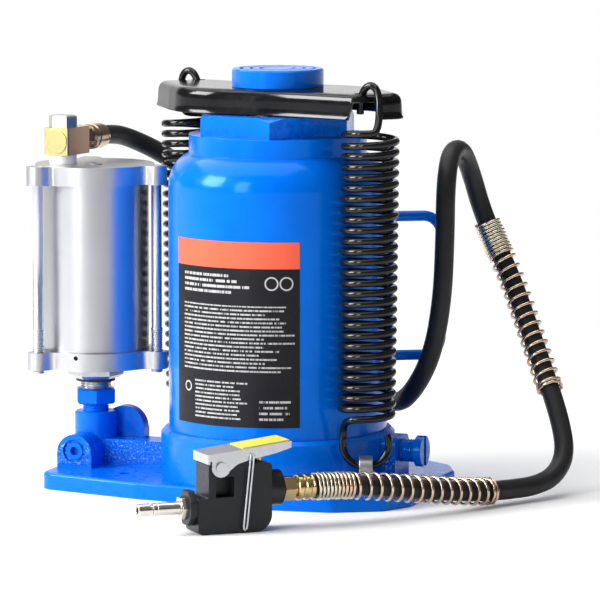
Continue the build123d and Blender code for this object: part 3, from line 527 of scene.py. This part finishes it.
def thread_mesh(name, radius, depth, pitch, low, high, place, below, above, sides=40):
    """A rod with a thread from low to high and plain (radius, height) steps below and above it.

    Sizes are in millimetres. The thread fades out at both ends, down to a share of its depth.
    """
    radius, depth, pitch, low, high = (size * MM for size in (radius, depth, pitch, low, high))
    count = int((high - low) / pitch * ROWS_A_TURN)

    def threaded(height):
        fade = min(1, (height - low) / pitch + LEAST_FADE, (high - height) / pitch + LEAST_FADE)

        def radius_at(a):
            turn = height / pitch - a / (2 * pi)
            groove = min(1.0, max(0.0, 1.5 - 3.2 * abs(turn - floor(turn) - 0.5)))
            return radius - depth * fade * groove

        return radius_at, height

    def plain(steps):
        return [(lambda a, r=r * MM: r, h * MM) for r, h in steps]

    middle = [threaded(low + (high - low) * i / count) for i in range(count + 1)]
    rings = [*plain(below), *middle, *plain(above)]
    verts, faces = [], []
    for radius_at, height in rings:
        verts += ring_points(radius_at, height, place, sides)
    for i in range(len(rings) - 1):
        faces += band(i * sides, (i + 1) * sides, sides)
    faces += end_caps(0, (len(rings) - 1) * sides, sides)
    return mesh_of(name, verts, faces)


def upright(origin):
    """A frame at origin that isn't turned."""
    return Matrix.Translation(Vector(origin))


def facing(origin, direction):
    """A frame at origin whose Z runs along a level direction."""
    z = Vector(direction).normalized()
    x = Vector((0, 0, 1)).cross(z).normalized()
    y = z.cross(x)
    turn = Matrix((x, y, z)).transposed().to_4x4()
    return Matrix.Translation(Vector(origin)) @ turn


# ---------------------------------------------------------------- hose
HOSE_ROUTE = [
    (-136.15, 47.642, 211.5), (-134.2, 63.523, 211.5), (-127.5, 79.5, 207), (-111, 92.5, 196.5),
    (-84, 101, 177), (-50, 105, 145), (-12, 102, 105), (20, 90, 67), (40, 75, 51), (58, 58, 48.5),
    (75, 38, 60), (90.5, 27.5, 84), (97, 27, 118), (98.3, 28, 156), (98, 30, 190), (95.5, 47, 208),
    (94.5, 72, 208), (95, 90, 191), (99.5, 95, 170), (108, 94, 151), (122, 89, 126), (136, 79.5, 98),
    (149, 69, 73), (163, 56, 47), (171, 45, 26), (168.5, 32, 13.5), (161, 16, 9), (150.5, -2.5, 8.9),
    (139, -24, 10), (126.5, -46, 13), (108, -72, 17.6), (90, -94, 21.5), (76.5, -107.55, 23.2),
    (64.95, -117.937, 23.2),
]
HOSE_R = 6 * MM
HOSE_RESOLUTION = 24
GUARD_COIL_R, GUARD_WIRE_R, GUARD_STEP = 7.7 * MM, 0.95 * MM, 0.25 * MM

hose_curve = bpy.data.curves.new("hose", "CURVE")
hose_curve.dimensions = "3D"
spline = hose_curve.splines.new("NURBS")
spline.points.add(len(HOSE_ROUTE) - 1)
for control, point in zip(spline.points, HOSE_ROUTE):
    control.co = (*(Vector(point) * MM), 1)
spline.order_u = 3
spline.use_endpoint_u = True
spline.resolution_u = HOSE_RESOLUTION
hose_curve.resolution_u = HOSE_RESOLUTION
hose = link(bpy.data.objects.new("hose_tube", hose_curve))
bpy.context.view_layer.update()
line_mesh = bpy.data.meshes.new_from_object(hose)
HOSE_LINE = [v.co.copy() for v in line_mesh.vertices]
bpy.data.meshes.remove(line_mesh)
hose_curve.bevel_depth = HOSE_R
hose_curve.bevel_resolution = 6
hose_curve.use_fill_caps = True
hose_curve.materials.append(LOOKS["hose"])
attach(hose, "root")
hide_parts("hose")


def hose_stretch(start, end):
    """The part of the hose's line between two shares of its length."""
    reached = [0.0]
    for a, b in zip(HOSE_LINE, HOSE_LINE[1:]):
        reached.append(reached[-1] + (b - a).length)
    return [p for p, at in zip(HOSE_LINE, reached) if start * reached[-1] <= at <= end * reached[-1]]


def evenly(points, step):
    """Points a fixed step apart along a line."""
    made, left = [points[0].copy()], step
    for a, b in zip(points, points[1:]):
        run = (b - a).length
        along = left
        while along <= run:
            made.append(a.lerp(b, along / run))
            along += step
        left = along - run
    return made


def guard_wire(name, stretch, look, node, pitch_at):
    """A wire wound round part of the hose. pitch_at gives the pitch from the length along it."""
    line = evenly(stretch, GUARD_STEP)
    length = (len(line) - 1) * GUARD_STEP
    tangent = (line[1] - line[0]).normalized()
    normal = tangent.orthogonal().normalized()
    angle, path = 0.0, []
    for i in range(len(line) - 1):
        now = (line[i + 1] - line[i]).normalized()
        normal = tangent.rotation_difference(now) @ normal
        tangent = now
        side = tangent.cross(normal)
        path.append(line[i] + (normal * cos(angle) + side * sin(angle)) * GUARD_COIL_R)
        angle += 2 * pi * GUARD_STEP / pitch_at(i * GUARD_STEP, length)
    return piece(name, sweep_mesh(name, path, GUARD_WIRE_R, 8), "root", look, [node])


def upper_pitch(at, length):
    """Close coils for the first fifth, then open ones, with closed turns at the end."""
    close, wide = 2.3 * MM, 6.6 * MM
    return close if at < 0.2 * length or at > length - 5 * MM else wide


def lower_pitch(at, length):
    """Open coils, with close ones where the guard meets the trigger valve."""
    close, wide = 2.4 * MM, 7.1 * MM
    return close if at < 4 * MM or at > length - 26 * MM else wide


# each guard covers the hose between two shares of its length
guard_upper = guard_wire(
    "guard_wire_upper", hose_stretch(0.609, 0.737), "guard_upper", "hose_guard_upper", upper_pitch
)
guard_lower = guard_wire(
    "guard_wire_lower", hose_stretch(0.860, 1.0), "guard_lower", "hose_guard_lower", lower_pitch
)

# ---------------------------------------------------------------- return springs
SPRING_FOOT = Vector((72.9, -45.2, 0)) * MM
SPRING_HEAD = Vector((75.0, -42.9, 0)) * MM
COIL_R, WIRE_R = 15.5 * MM, 2.25 * MM
RING_HOOK_R, RING_HOOK_Z = 13.8 * MM, 38.6 * MM
HOOK_TOP = 254.2 * MM
COIL_LOW, COIL_HIGH, COIL_TURNS = 60.2 * MM, 217.7 * MM, 25
COIL_STEPS = 40  # points in each turn
COIL_FIRST, COIL_EXTRA = -33, 1.19  # the coils start so many steps early and end so many turns late
TOP_OPENS, TOP_RISE = 0.4, 1.2 * MM  # past its last turn the wire opens up, by a rise for each turn
HOOK_TURN = radians(20)  # about Z: the plane of the ring at the foot
ACROSS = Vector((cos(HOOK_TURN), sin(HOOK_TURN), 0))
AWAY = Vector((-sin(HOOK_TURN), cos(HOOK_TURN), 0))
# (across, away, z) in millimetres: the wire from the ring to the coils, and from them over the plate
INTO_COIL = [(-13.7, -0.4, 43.5), (-13.5, -2.8, 48.5), (-12.4, -6.9, 52.3), (-9.9, -11.4, 54.2)]
TOP_HOOK = [
    (1.4, -14.9, 226.6), (3.7, -13.0, 229.2), (4.7, -9.8, 233.5), (5.0, -6.2, 240), (4.7, -3.2, 246.5),
    (3.0, -1.0, 251.8), (0, 1.2, 253.9), (-3.0, 3.3, 252.4), (-5.2, 5.4, 248), (-6.0, 6.6, 242),
    (-6.1, 7.0, 236.5),
]


def smooth(points, each):
    """A Catmull-Rom line through points, with a number of steps between each two."""
    made = []
    ends = [points[0] * 2 - points[1], *points, points[-1] * 2 - points[-2]]
    for p0, p1, p2, p3 in zip(ends, ends[1:], ends[2:], ends[3:]):
        for i in range(each):
            t = i / each
            made.append(0.5 * (
                2 * p1 + (p2 - p0) * t + (2 * p0 - 5 * p1 + 4 * p2 - p3) * t ** 2
                + (3 * p1 - p0 - 3 * p2 + p3) * t ** 3
            ))
    made.append(points[-1])
    return made


def spring_piece(node, mesh, look):
    """A spring between the base and a body, as one mesh with its place baked in, standing for its CAD node.
    """
    obj = smooth_object("wire_" + node, mesh, look)
    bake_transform(obj)
    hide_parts(node)
    return obj


def return_spring(node, side):
    """One wire: the open ring at the foot, the close coils and the hook at the top."""

    def at(across, away, z):
        share = (z - RING_HOOK_Z) / (HOOK_TOP - RING_HOOK_Z)
        axis = SPRING_FOOT.lerp(SPRING_HEAD, share)
        return (axis + ACROSS * across + AWAY * away) * side + Vector((0, 0, z))

    def coil_height(turn):
        """Height of the wire after a number of turns, with the last turn opened up to the hook."""
        regular = COIL_LOW + (COIL_HIGH - COIL_LOW) * turn / COIL_TURNS
        return regular + TOP_RISE * max(0.0, turn - COIL_TURNS - TOP_OPENS)

    def on_coil(turn):
        a = pi + 2 * pi * turn
        return at(COIL_R * cos(a), COIL_R * sin(a), coil_height(turn))

    def along(points):
        return [at(*(v * MM for v in p)) for p in points]

    ring = []
    for degrees in range(24, -181, -12):
        a = radians(degrees)
        ring.append(at(RING_HOOK_R * cos(a), 0, RING_HOOK_Z + RING_HOOK_R * sin(a)))
    last = int(COIL_STEPS * (COIL_TURNS + COIL_EXTRA))
    coil = [on_coil(i / COIL_STEPS) for i in range(COIL_FIRST, last + 1)]
    foot = smooth([*ring, *along(INTO_COIL), coil[0], coil[3]], 6)
    top = smooth([coil[-4], coil[-1], *along(TOP_HOOK)], 8)
    mesh = sweep_mesh("wire_" + node, foot + coil[4:-5] + top, WIRE_R, 14)
    return spring_piece(node, mesh, "black")


for node, side in (("return_spring_front", 1), ("return_spring_rear", -1)):
    return_spring(node, side)


def small_spring(node, centre, mean_r, wire_r, low, high, turns):
    """A compression spring inside a housing, squeezed by the body above it. Sizes in millimetres.

    Its end turns are closed and flat.
    """
    steps = 24
    foot, head = low + wire_r + 0.05, high - wire_r - 0.05
    path = []
    for i in range(int(turns * steps) + 1):
        a = 2 * pi * i / steps
        share = min(1, max(0, (i / steps - 0.75) / (turns - 1.5)))
        spot = (centre[0] + mean_r * cos(a), centre[1] + mean_r * sin(a), foot + (head - foot) * share)
        path.append(Vector(spot) * MM)
    mesh = sweep_mesh("wire_" + node, path, wire_r * MM, 10)
    return spring_piece(node, mesh, "steel")


small_spring(
    "motor_return_spring", (-125, 10), mean_r=14.25, wire_r=1.5, low=87, high=157.9, turns=9
)
button_spring = small_spring(
    "button_spring", (39.312, -141.022), mean_r=1.8, wire_r=0.3, low=28, high=32.9,
    turns=3.5,
)

# ---------------------------------------------------------------- spring hanger
HANGER_TOP, HANGER_T = 248.7 * MM, 3 * MM
# half of the outline with its corner radii, in millimetres: a half turn gives the rest
HANGER_HALF = [
    (67.5, -51, 8), (14, -34.4, 150), (-36, -31, 90), (-56, -23, 40), (-70, -4, 50), (-90.5, 26.5, 9),
]
# section of the pressed edge: inset from the outline and height below the top
HANGER_SECTION = [
    (6.5, 0), (4.2, 0.25), (2.5, 1.0), (1.2, 2.3), (0.4, 4.2), (0.1, 7), (0.0, 10.5), (-0.3, 13),
    (-0.9, 14.6), (-0.6, 15.3), (0.4, 15.5), (1.6, 14.9), (2.5, 13.2), (3.0, 10), (3.2, 7), (3.8, 4.9),
    (5.0, 3.5), (7.0, 3.05),
]
SKIRT_STARTS, SKIRT_LEAST = 4.2, 0.06  # how far below the top it begins, and what is left at its opening
OPENING, OPENING_FADE = 14 * MM, 4 * MM  # along the end, from the corner
PAST_END, PAST_END_FADE = 1.5 * MM, 3 * MM  # in from the end
HOOK_HOLE = (SPRING_HEAD + Vector((-8.1, 4.6, 0)) * MM).xy
HOLES = ((Vector((0, 0)), 21 * MM), (HOOK_HOLE, 4.2 * MM), (-HOOK_HOLE, 4.2 * MM))
HOLE_SIDES = 32
OUTLINE_STEP, CLOSEST = 1.6 * MM, 0.2 * MM


def rounded(corners):
    """Points about a step apart round a closed outline, with corners (x, y, radius) in millimetres."""
    made = []
    count = len(corners)
    for i in range(count):
        x, y, radius = corners[i]
        corner = Vector((x, y)) * MM
        before = Vector(corners[i - 1][:2]) * MM - corner
        after = Vector(corners[(i + 1) % count][:2]) * MM - corner
        a, b = before.normalized(), after.normalized()
        reach = min(radius * MM / tan(a.angle(b) / 2), 0.48 * min(before.length, after.length))
        arc_steps = max(3, int(reach * 2 / OUTLINE_STEP))
        p, q = corner + a * reach, corner + b * reach
        for k in range(arc_steps + 1):
            t = k / arc_steps
            made.append(p.lerp(corner, t).lerp(corner.lerp(q, t), t))
    closed = [made[0]]
    for point in made[1:] + made[:1]:
        last = closed[-1].copy()
        parts = int((point - last).length / OUTLINE_STEP) + 1
        closed += [last.lerp(point, k / parts) for k in range(1, parts)]
        if min((point - closed[-1]).length, (point - closed[0]).length) > CLOSEST:
            closed.append(point)
    return closed


def hanger_mesh(name):
    """A pressed plate with three holes: its edges turn down into a skirt, open at one corner of each end."""
    corners = HANGER_HALF + [(-x, -y, r) for x, y, r in HANGER_HALF]
    outline = rounded(corners)
    count = len(outline)
    normals = []
    for i in range(count):
        along = (outline[(i + 1) % count] - outline[i - 1]).normalized()
        normals.append(Vector((-along.y, along.x)))
    if sum(n.dot(-p) for n, p in zip(normals, outline)) < 0:
        normals = [-n for n in normals]
    corner, far = Vector(corners[0][:2]) * MM, Vector((-corners[5][0], -corners[5][1])) * MM
    along = (far - corner).normalized()
    inward = Vector((-along.y, along.x))

    def skirt(point):
        """How much of the skirt's depth a place on the outline has."""
        full = 1.0
        for spot in (point - corner, -point - corner):
            past_opening = (spot.dot(along) - OPENING) / OPENING_FADE
            past_end = (spot.dot(inward) - PAST_END) / PAST_END_FADE
            full = min(full, max(past_opening, past_end))
        return max(SKIRT_LEAST, full)

    def hole(centre, radius, z):
        """A loop of vertices and its edges."""
        angles = [2 * pi * k / HOLE_SIDES for k in range(HOLE_SIDES)]
        loop = [shape.verts.new((centre.x + radius * cos(a), centre.y + radius * sin(a), z)) for a in angles]
        return loop, [shape.edges.new((loop[k], loop[(k + 1) % HOLE_SIDES])) for k in range(HOLE_SIDES)]

    shape = bmesh.new()
    rings = []
    for inset, drop in HANGER_SECTION:
        ring = []
        for point, normal in zip(outline, normals):
            depth = drop
            if drop > SKIRT_STARTS:
                depth = SKIRT_STARTS + (drop - SKIRT_STARTS) * skirt(point)
            spot = point + normal * inset * MM
            ring.append(shape.verts.new((spot.x, spot.y, HANGER_TOP - depth * MM)))
        rings.append(ring)
    for upper, lower in zip(rings, rings[1:]):
        for i in range(count):
            j = (i + 1) % count
            shape.faces.new((upper[i], upper[j], lower[j], lower[i]))
    walls = []
    for ring, z in ((rings[0], HANGER_TOP), (rings[-1], HANGER_TOP - HANGER_T)):
        edges = [shape.edges.get((ring[i], ring[(i + 1) % count])) for i in range(count)]
        loops = []
        for centre, radius in HOLES:
            loop, loop_edges = hole(centre, radius, z)
            edges += loop_edges
            loops.append(loop)
        bmesh.ops.triangle_fill(shape, use_beauty=True, edges=edges)
        walls.append(loops)
    for upper, lower in zip(*walls):
        for k in range(HOLE_SIDES):
            m = (k + 1) % HOLE_SIDES
            shape.faces.new((upper[k], upper[m], lower[m], lower[k]))
    bmesh.ops.recalc_face_normals(shape, faces=shape.faces)
    mesh = bpy.data.meshes.new(name)
    shape.to_mesh(mesh)
    shape.free()
    return mesh


hanger = piece(
    "hanger_plate", hanger_mesh("hanger_plate"), "ram", "black", ["spring_hanger"]
)
weigh_normals(hanger, 100).thresh = 0.0

# ---------------------------------------------------------------- threaded rods
PUMP = Vector((-125, 10, 0)) * MM
BOLT_AT = 42.4 * MM  # from the motor's axis
M8 = {"radius": 3.9, "depth": 0.8, "pitch": 1.5, "sides": 24}


def joined(name, meshes):
    """One mesh from several, which are removed."""
    shape = bmesh.new()
    for mesh in meshes:
        shape.from_mesh(mesh)
        bpy.data.meshes.remove(mesh)
    made = bpy.data.meshes.new(name)
    shape.to_mesh(made)
    shape.free()
    return made


bolts = []
for degrees in (-4, 116, 236):
    a = radians(degrees)
    bolts.append(thread_mesh(
        "bolt", low=69.2, high=96, place=upright(PUMP + Vector((cos(a), sin(a), 0)) * BOLT_AT),
        below=[(3.1, 68.7), (3.4, 69)],
        above=[(3.2, 96.5), (3.2, 185), (3.8, 185.2), (3.8, 196.6), (3.3, 197.2)], **M8,
    ))
piece("tie_rods", joined("tie_rods", bolts), "root", "zinc", ["tie_bolts"])

neck = thread_mesh(
    "pump_neck", radius=9.9, depth=0.7, pitch=1.5, low=56.5, high=62, place=upright(PUMP),
    below=[(4, 12.2), (7.8, 12.2), (7.8, 46), (7.8, 56.3)], above=[(9.8, 62.3), (9.8, 77.8), (6.2, 77.8)],
)
piece("pump_neck", neck, "root", "steel", ["pump_barrel"])
painted_foot = thread_mesh(
    "pump_foot_paint", radius=8.4, depth=0.5, pitch=1.5, low=42, high=47.4, place=upright(PUMP),
    below=[(7.9, 41)], above=[(7.9, 47.6)],
)
piece("pump_foot_paint", painted_foot, "root", "blue")
release_thread = thread_mesh(
    "release_thread", radius=7.1, depth=0.8, pitch=1.75, low=0.6, high=9.4,
    place=facing(Vector((80.5, 0, 29)) * MM, (1, 0, 0)), below=[(6.45, 0.2)], above=[(6.45, 9.8)],
)
piece("release_thread", release_thread, "release_valve", "blue")
screw = thread_mesh(
    "lift_screw", radius=17.8, depth=1.6, pitch=4, low=83, high=246.5, place=upright((0, 0, 0)),
    below=[(14.6, 74.2), (14.6, 77.9), (12.8, 77.9), (12.8, 82), (15, 82.4)],
    above=[(16, 247.2), (16, 248.9), (9.7, 248.9), (9.7, 254.8)],
)
piece("lift_screw", screw, "screw", "steel", ["extension_screw"])

# ---------------------------------------------------------------- crimped ferrules
UNION_TURN, VALVE_TURN = radians(83), radians(42)  # where the hose leaves the motor and the valve
VALVE_AT = Vector((46, -135, 0)) * MM
VALVE_X = Vector((cos(VALVE_TURN), sin(VALVE_TURN), 0))
VALVE_SIDE = Vector((sin(VALVE_TURN), -cos(VALVE_TURN), 0))


def ferrule(name, origin, direction, steps, node, look):
    """A crimped ring round the hose, from (radius, distance) steps in millimetres."""
    mesh = lathe_mesh(name, steps, facing(origin, direction), 48)
    obj = piece(name, mesh, "root", look, [node])
    soften(obj, 0.12 * MM)
    return obj


ferrule(
    "crimped_ferrule", Vector((-142, 0, 211.5)) * MM, (cos(UNION_TURN), sin(UNION_TURN), 0),
    ((3.2, 26.1), (6.2, 26.1), (6.4, 28.8), (7.6, 29.3), (7.9, 30), (7.9, 33), (7.2, 33.8), (7.2, 34.6),
     (7.9, 35.4), (7.9, 44.6), (7.5, 45.4), (7.5, 47.2), (6.8, 47.9), (6.1, 47.9)),
    "hose_ferrule", "copper",
)
outlet_ferrule = ferrule(
    "outlet_crimp", VALVE_AT + Vector((0, 0, 23.2)) * MM, VALVE_X,
    ((3.2, 14.6), (7.1, 14.6), (7.7, 15.3), (7.7, 17.6), (7.0, 18.3), (7.0, 19.4), (7.7, 20.1),
     (7.7, 22.2), (7.0, 22.9), (7.0, 24), (7.5, 24.6), (7.3, 25.4), (6.1, 25.4)),
    "outlet_ferrule", "brass",
)

# ---------------------------------------------------------------- lock bail
BAIL_AT = VALVE_AT + VALVE_X * -22.1 * MM + Vector((0, 0, 2.3)) * MM
BAIL_UP = (VALVE_X * 4.8 + Vector((0, 0, 45.7))).normalized()
BAIL_ACROSS = VALVE_SIDE.cross(BAIL_UP)
BAIL_HALF, BAIL_GAP, BAIL_WIRE_R = 13.6, 1.05, 0.55  # millimetres


def on_bail(side, across, height):
    return BAIL_AT + (VALVE_SIDE * side + BAIL_ACROSS * across + BAIL_UP * height) * MM


def bail_leg(side):
    """One doubled leg: down near the axle, up, round the hairpin and down to the axle."""
    gap = BAIL_GAP
    return [on_bail(side, across, height) for across, height in (
        (-gap * 0.6, 0.4), (-gap, 3), (-gap, 20), (-gap, 40), (-gap, 43), (-gap * 0.7, 44.1), (0, 44.5),
        (gap * 0.7, 44.1), (gap, 43), (gap, 40), (gap, 20), (gap, 3), (gap * 0.6, 1),
    )]


wire = [
    *bail_leg(BAIL_HALF), on_bail(BAIL_HALF - 0.6, 0, 0.1), on_bail(BAIL_HALF - 2, 0, 0),
    on_bail(2 - BAIL_HALF, 0, 0), on_bail(0.6 - BAIL_HALF, 0, 0.1), *reversed(bail_leg(-BAIL_HALF)),
]
bail_mesh = sweep_mesh("bail_wire", smooth(wire, 4), BAIL_WIRE_R * MM, 10)
bail = piece("bail_wire", bail_mesh, "lock_bail", "zinc", ["lock_bail"])

# ---------------------------------------------------------------- welds of the carry handle
HANDLE_TURN, BARREL_R, WELD_R = radians(30), 67 * MM, 4.1 * MM
BEAD_STEPS, BEAD_R = 60, 1.5 * MM
welds = []
for height in (82 * MM, 168 * MM):
    bead = []
    for k in range(BEAD_STEPS):
        a = 2 * pi * k / BEAD_STEPS
        turn = HANDLE_TURN + WELD_R * sin(a) / BARREL_R
        out = BARREL_R + 0.35 * MM * sin(13 * a)
        up = height + WELD_R * cos(a) + 0.15 * MM * cos(7 * a)
        bead.append((out * cos(turn), out * sin(turn), up))
    welds.append(sweep_mesh("bead", bead, BEAD_R, 8, closed=True))
piece("handle_welds", joined("handle_welds", welds), "root", "blue")

# ---------------------------------------------------------------- looks of the CAD nodes
NODE_LOOKS = {
    "cast": ["base_casting"],
    "nut": ["gland_nut"],
    "blue": ["socket_plug", "reservoir_barrel", "saddle", "carry_handle", "lock_nut", "release_valve"],
    "tube": ["motor_tube"],
    "cap": ["motor_bottom_cap", "motor_top_cap", "air_piston"],
    "zinc": ["spring_lugs", "motor_adapter", "trigger_lever", "lever_pin"],
    "nickel": ["air_nipple"],
    "steel": [
        "ram_rod", "ram_cylinder", "piston_head", "screw_stop_ring", "pump_plunger",
        "check_balls", "check_spring", "release_ball",
    ],
    "union": ["banjo_block", "hose_nut"],
    "bolt": ["banjo_bolt"],
    "brass": ["outlet_fitting", "valve_button"],
    "seal": [
        "barrel_seal", "gland_seals", "piston_cup", "piston_ring", "plunger_seal", "tube_seals",
        "motor_seal_ring", "filler_plug",
    ],
    "plastic": ["valve_body", "inlet_collar"],
    "grey": ["cap_plug"],
    "white": ["banjo_washer"],
    "yellow": ["grip_strip"],
    "print": ["label_field"],
    "band": ["label_band"],
}
# how far edges are rounded, in millimetres
USUAL_EDGE = 0.25
EDGES = {
    "base_casting": 0.9, "gland_nut": 0.8, "saddle": 0.5, "motor_top_cap": 0.5, "motor_bottom_cap": 0.5,
    "valve_body": 0.7, "inlet_collar": 0.5, "lock_nut": 0.5, "banjo_block": 0.5, "banjo_bolt": 0.5,
    "hose_nut": 0.4,
}
FLAT = {"trigger_lever"}  # bent sheet, whose faces stay flat
# films and balls, which have no edges to round
PLAIN = {"label_field", "label_band", "grip_strip", "check_balls", "release_ball"}
for look, nodes in NODE_LOOKS.items():
    for node in nodes:
        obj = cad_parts[node]
        wear(obj, look)
        if node not in PLAIN:
            soften(obj, EDGES.get(node, USUAL_EDGE) * MM, flat=node in FLAT)

# ---------------------------------------------------------------- floor and light
FLOOR_R = 0.85
floor_mesh = bpy.data.meshes.new("floor")
shape = bmesh.new()
bmesh.ops.create_circle(shape, cap_ends=True, segments=96, radius=FLOOR_R)
shape.to_mesh(floor_mesh)
shape.free()
floor_obj = link(bpy.data.objects.new("floor", floor_mesh))
pale = Shader("pale_floor", (0.9, 0.9, 0.9), roughness=0.6)
pale.drift_color(2, 2, (0.9, 0.9, 0.9), (0.92, 0.92, 0.92))
floor_obj.data.materials.append(pale.material)

# a dim grey studio, white below the floor's level and on a backdrop behind the jack
SKY_LOW, SKY_HIGH, SKY_HIGH_AT = (0.05, 0.05, 0.05, 1), (0.3, 0.3, 0.3, 1), 0.85
BACKDROP_TURN = radians(32)
BACKDROP_FROM, BACKDROP_FULL = 0.8, 0.92  # how nearly a direction has to point at its middle
HORIZON = -0.005

world = bpy.data.worlds.new("studio")
world.use_nodes = True
sky = world.node_tree


def sky_node(kind, inputs, operation=None):
    """A node of the world, with its inputs linked to other nodes' outputs or set to values."""
    node = sky.nodes.new("ShaderNode" + kind)
    if operation:
        node.operation = operation
    for key, value in inputs.items():
        if isinstance(value, bpy.types.NodeSocket):
            sky.links.new(value, node.inputs[key])
        else:
            node.inputs[key].default_value = value
    return node


direction = sky_node("TexCoord", {}).outputs["Generated"]
height = sky_node("SeparateXYZ", {0: direction}).outputs["Z"]
ramp = sky_node("ValToRGB", {0: height})
dim, bright = ramp.color_ramp.elements
dim.position, dim.color = 0.0, SKY_LOW
bright.position, bright.color = SKY_HIGH_AT, SKY_HIGH
middle = (-sin(BACKDROP_TURN), cos(BACKDROP_TURN), 0)
behind = sky_node("VectorMath", {0: direction, 1: middle}, "DOT_PRODUCT").outputs["Value"]
limits = {"From Min": BACKDROP_FROM, "From Max": BACKDROP_FULL, "Value": behind}
backdrop = sky_node("MapRange", limits).outputs[0]
below = sky_node("Math", {0: height, 1: HORIZON}, "LESS_THAN").outputs[0]
white = sky_node("Math", {0: backdrop, 1: below}, "MAXIMUM").outputs[0]
pick = sky_node("Mix", {0: white})
pick.data_type = "RGBA"
colours = [socket for socket in pick.inputs if socket.type == "RGBA"]
sky.links.new(ramp.outputs["Color"], colours[0])
colours[1].default_value = (1, 1, 1, 1)
mixed = next(socket for socket in pick.outputs if socket.type == "RGBA")
sky.links.new(mixed, sky.nodes["Background"].inputs["Color"])
bpy.context.scene.world = world
bpy.context.scene.view_settings.view_transform = "Standard"


def softbox(name, place, power, width, height, aim):
    """A rectangular lamp, in watts and metres, that faces a point."""
    data = bpy.data.lights.new(name, "AREA")
    data.shape = "RECTANGLE"
    data.size, data.size_y = width, height
    data.energy = power
    lamp = link(bpy.data.objects.new(name, data))
    lamp.location = place
    lamp.rotation_mode = "QUATERNION"
    lamp.rotation_quaternion = (Vector(aim) - Vector(place)).to_track_quat("-Z", "Y")


softbox("key", (-1.7, -1.15, 1.05), 62, 0.9, 1.0, (0, 0, 0.12))
softbox("sheen", (-0.62, -1.85, 0.7), 16, 0.5, 1.1, (0, 0, 0.12))
softbox("top", (-0.6, 0.0, 2.2), 64, 3.0, 3.0, (0, 0, 0))
